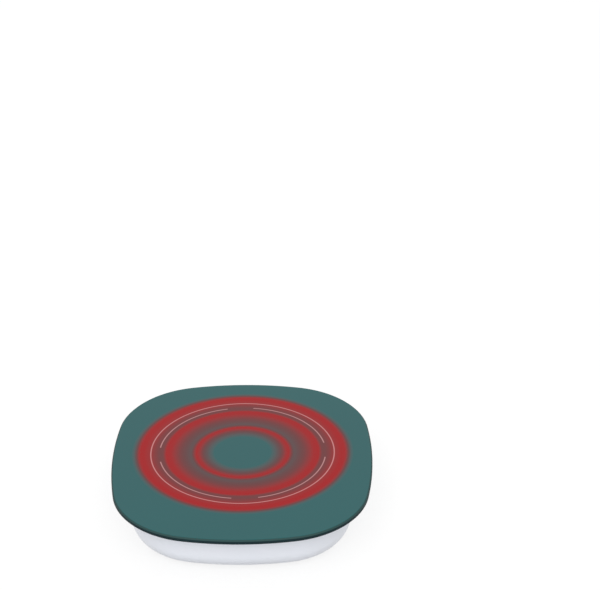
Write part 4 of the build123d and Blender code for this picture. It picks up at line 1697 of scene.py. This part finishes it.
@dataclass
class Works:
    """The heater, the board and the wiring, which keep their solids and get real finishes.

    Each row of the slots names a slot and then its solids.
    """

    slots: tuple[tuple[str, ...], ...] = (
        ("grey_silicone", "thermal_pad", "sensor_carrier"),
        ("spreader_aluminium", "heat_spreader", "clip_rivets"),
        ("mica", "mica_upper", "mica_lower"),
        ("resistance_foil", "heating_element"),
        ("ceramic_fibre", "insulation_pad"),
        ("plated_steel", "pressure_plate", "sensor_clip"),
        ("zinc_screw", "pressure_plate_screws", "board_screws"),
        ("sensor_resin", "temperature_sensor"),
        ("fuse_case", "thermal_fuse"),
        ("red_wire", "heater_lead"),
        ("black_wire", "fuse_leads", "inlet_leads"),
        ("white_wire", "sensor_leads"),
        ("board_laminate", "control_board"),
        ("black_moulding", "power_transistor", "controller_chip", "buck_inductor"),
        ("black_moulding", "switch_body", "switch_plunger"),
        ("capacitor_can", "smoothing_capacitor"),
        ("led_resin", "indicator_led"),
        ("brass_contact", "inlet_contact"),
    )

    def dress(self, nodes: dict[str, Object], finishes: Finishes) -> None:
        """Give each inner solid its finish.

        Args:
            nodes: The solids by name.
            finishes: The materials by slot.
        """
        for slot, *names in self.slots:
            for name in names:
                for place in nodes[name].material_slots:
                    place.material = finishes[slot]
                log.info("%s: finished as %s", name, slot)


# --------------------------------------------------------------------------------- studio


@dataclass
class Studio:
    """The pale floor, the soft light and the camera.

    Lamps are in metres. The camera's shifts, distance and height are in millimetres.
    """

    floor_reach: float = 6.0
    floor_seen_tone: Colour = (1.0, 1.0, 1.0)
    floor_bounce_tone: Colour = (0.46, 0.46, 0.46)
    floor_white_share: float = 0.8
    floor_roughness: float = 0.9
    floor_specular: float = 0.1
    ambient: float = 0.9
    lamp_size: float = 1.6
    key_place: Place = (-0.2, -1.3, 1.05)
    key_watts: float = 16.4
    fill_place: Place = (1.2, -0.9, 0.9)
    fill_watts: float = 1.6
    lens: float = 180.0
    sensor: float = 36.0
    clip: Point = (0.05, 60.0)
    pitch: float = radians(29.87)
    roll: float = radians(-0.60)
    turn: float = radians(0.89)
    shift_right: float = -26.62
    shift_up: float = -75.68
    distance: float = 1382.2
    aim_height: float = 24.5

    def build(self) -> None:
        """Build the floor, the world, the lamps and the camera."""
        self.build_floor()
        self.build_world()
        self.build_lamp("key", self.key_place, self.key_watts)
        self.build_lamp("fill", self.fill_place, self.fill_watts)
        self.build_camera()
        bpy.context.scene.view_settings.view_transform = "Standard"

    def build_floor(self) -> None:
        """Build the floor, which shows nearly white and keeps the object's shadow."""
        bm = bmesh.new()
        bmesh.ops.create_grid(bm, x_segments=1, y_segments=1, size=self.floor_reach)
        floor = new_mesh_object("floor", bm)
        material, sketch, shader = new_material("pale_floor")
        floor.data.materials.append(material)
        seen = self.seen_directly(sketch)
        tone = sketch.mix(seen, self.floor_bounce_tone, self.floor_seen_tone)
        sketch.plug(shader, {"Base Color": tone, "Roughness": self.floor_roughness})
        sketch.plug(shader, {"Specular IOR Level": self.floor_specular})
        share = sketch.math("MULTIPLY", seen, self.floor_white_share)
        glow = sketch.node("Emission")
        blend = sketch.node("MixShader", {0: share, 1: shader.outputs[0], 2: glow.outputs[0]})
        output = next(node for node in sketch.tree.nodes if node.type == "OUTPUT_MATERIAL")
        sketch.plug(output, {"Surface": blend.outputs[0]})

    @staticmethod
    def seen_directly(sketch: Sketch) -> NodeSocket:
        """Tell what is seen from what only lights.

        Args:
            sketch: The sketch of the floor's material or of the world.

        Returns:
            1 for rays from the camera, a mirror or glass, and 0 for light on surfaces.
        """
        rays = sketch.node("LightPath").outputs
        mirrored = sketch.math("MAXIMUM", rays["Is Camera Ray"], rays["Is Glossy Ray"])
        return sketch.math("MAXIMUM", mirrored, rays["Is Transmission Ray"])

    def build_world(self) -> None:
        """Build the world: white where it is seen, and softer as light."""
        world = bpy.data.worlds.new("studio")
        world.use_nodes = True
        bpy.context.scene.world = world
        sketch = Sketch(world.node_tree)
        strength = sketch.blend(self.seen_directly(sketch), self.ambient, 1.0)
        sky = world.node_tree.nodes["Background"]
        sketch.plug(sky, {"Color": (1.0, 1.0, 1.0), "Strength": strength})

    def build_lamp(self, name: str, place: Place, watts: float) -> None:
        """Build a soft square lamp that points at the object.

        Args:
            name: The lamp's name.
            place: Where it hangs.
            watts: Its power.
        """
        light = bpy.data.lights.new(name, "AREA")
        light.shape = "SQUARE"
        light.size = self.lamp_size
        light.energy = watts
        lamp = new_object(name, light)
        lamp.location = place
        lamp.rotation_euler = (-Vector(place)).to_track_quat("-Z", "Y").to_euler()

    def build_camera(self) -> None:
        """Build the camera, which looks down on the warmer from the front with a long lens."""
        ahead = Vector((0, cos(self.pitch), -sin(self.pitch)))
        lift_axis = Vector((0, sin(self.pitch), cos(self.pitch)))
        level_axis = Vector((1, 0, 0))
        right = cos(self.roll) * level_axis + sin(self.roll) * lift_axis
        up = -sin(self.roll) * level_axis + cos(self.roll) * lift_axis
        place = -self.shift_right * right - self.shift_up * up - self.distance * ahead
        pose = Matrix((right, up, -ahead)).transposed().to_4x4()
        pose.translation = place * MM
        turn = Matrix.Rotation(self.turn, 4, "Z")
        view = bpy.data.cameras.new("camera")
        view.lens = self.lens
        view.sensor_width = self.sensor
        view.clip_start, view.clip_end = self.clip
        camera = new_object("camera", view)
        camera.matrix_world = at(z=self.aim_height * MM) @ turn @ pose
        bpy.context.scene.camera = camera


def main() -> None:
    """Load the frame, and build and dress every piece."""
    logging.basicConfig(level=logging.INFO, format="%(name)s %(message)s")
    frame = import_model()
    effects = Effects()
    finishes = {slot: finish.build(slot, effects) for slot, finish in finish_table().items()}
    log.info("%d finishes", len(finishes))
    for part in (GlassTop(), Case(), Feet(), PressButton(), ReturnDome(), PowerInlet()):
        part.build(finishes)
    Works().dress(frame["nodes"], finishes)
    Studio().build()


if __name__ == "__main__":
    main()
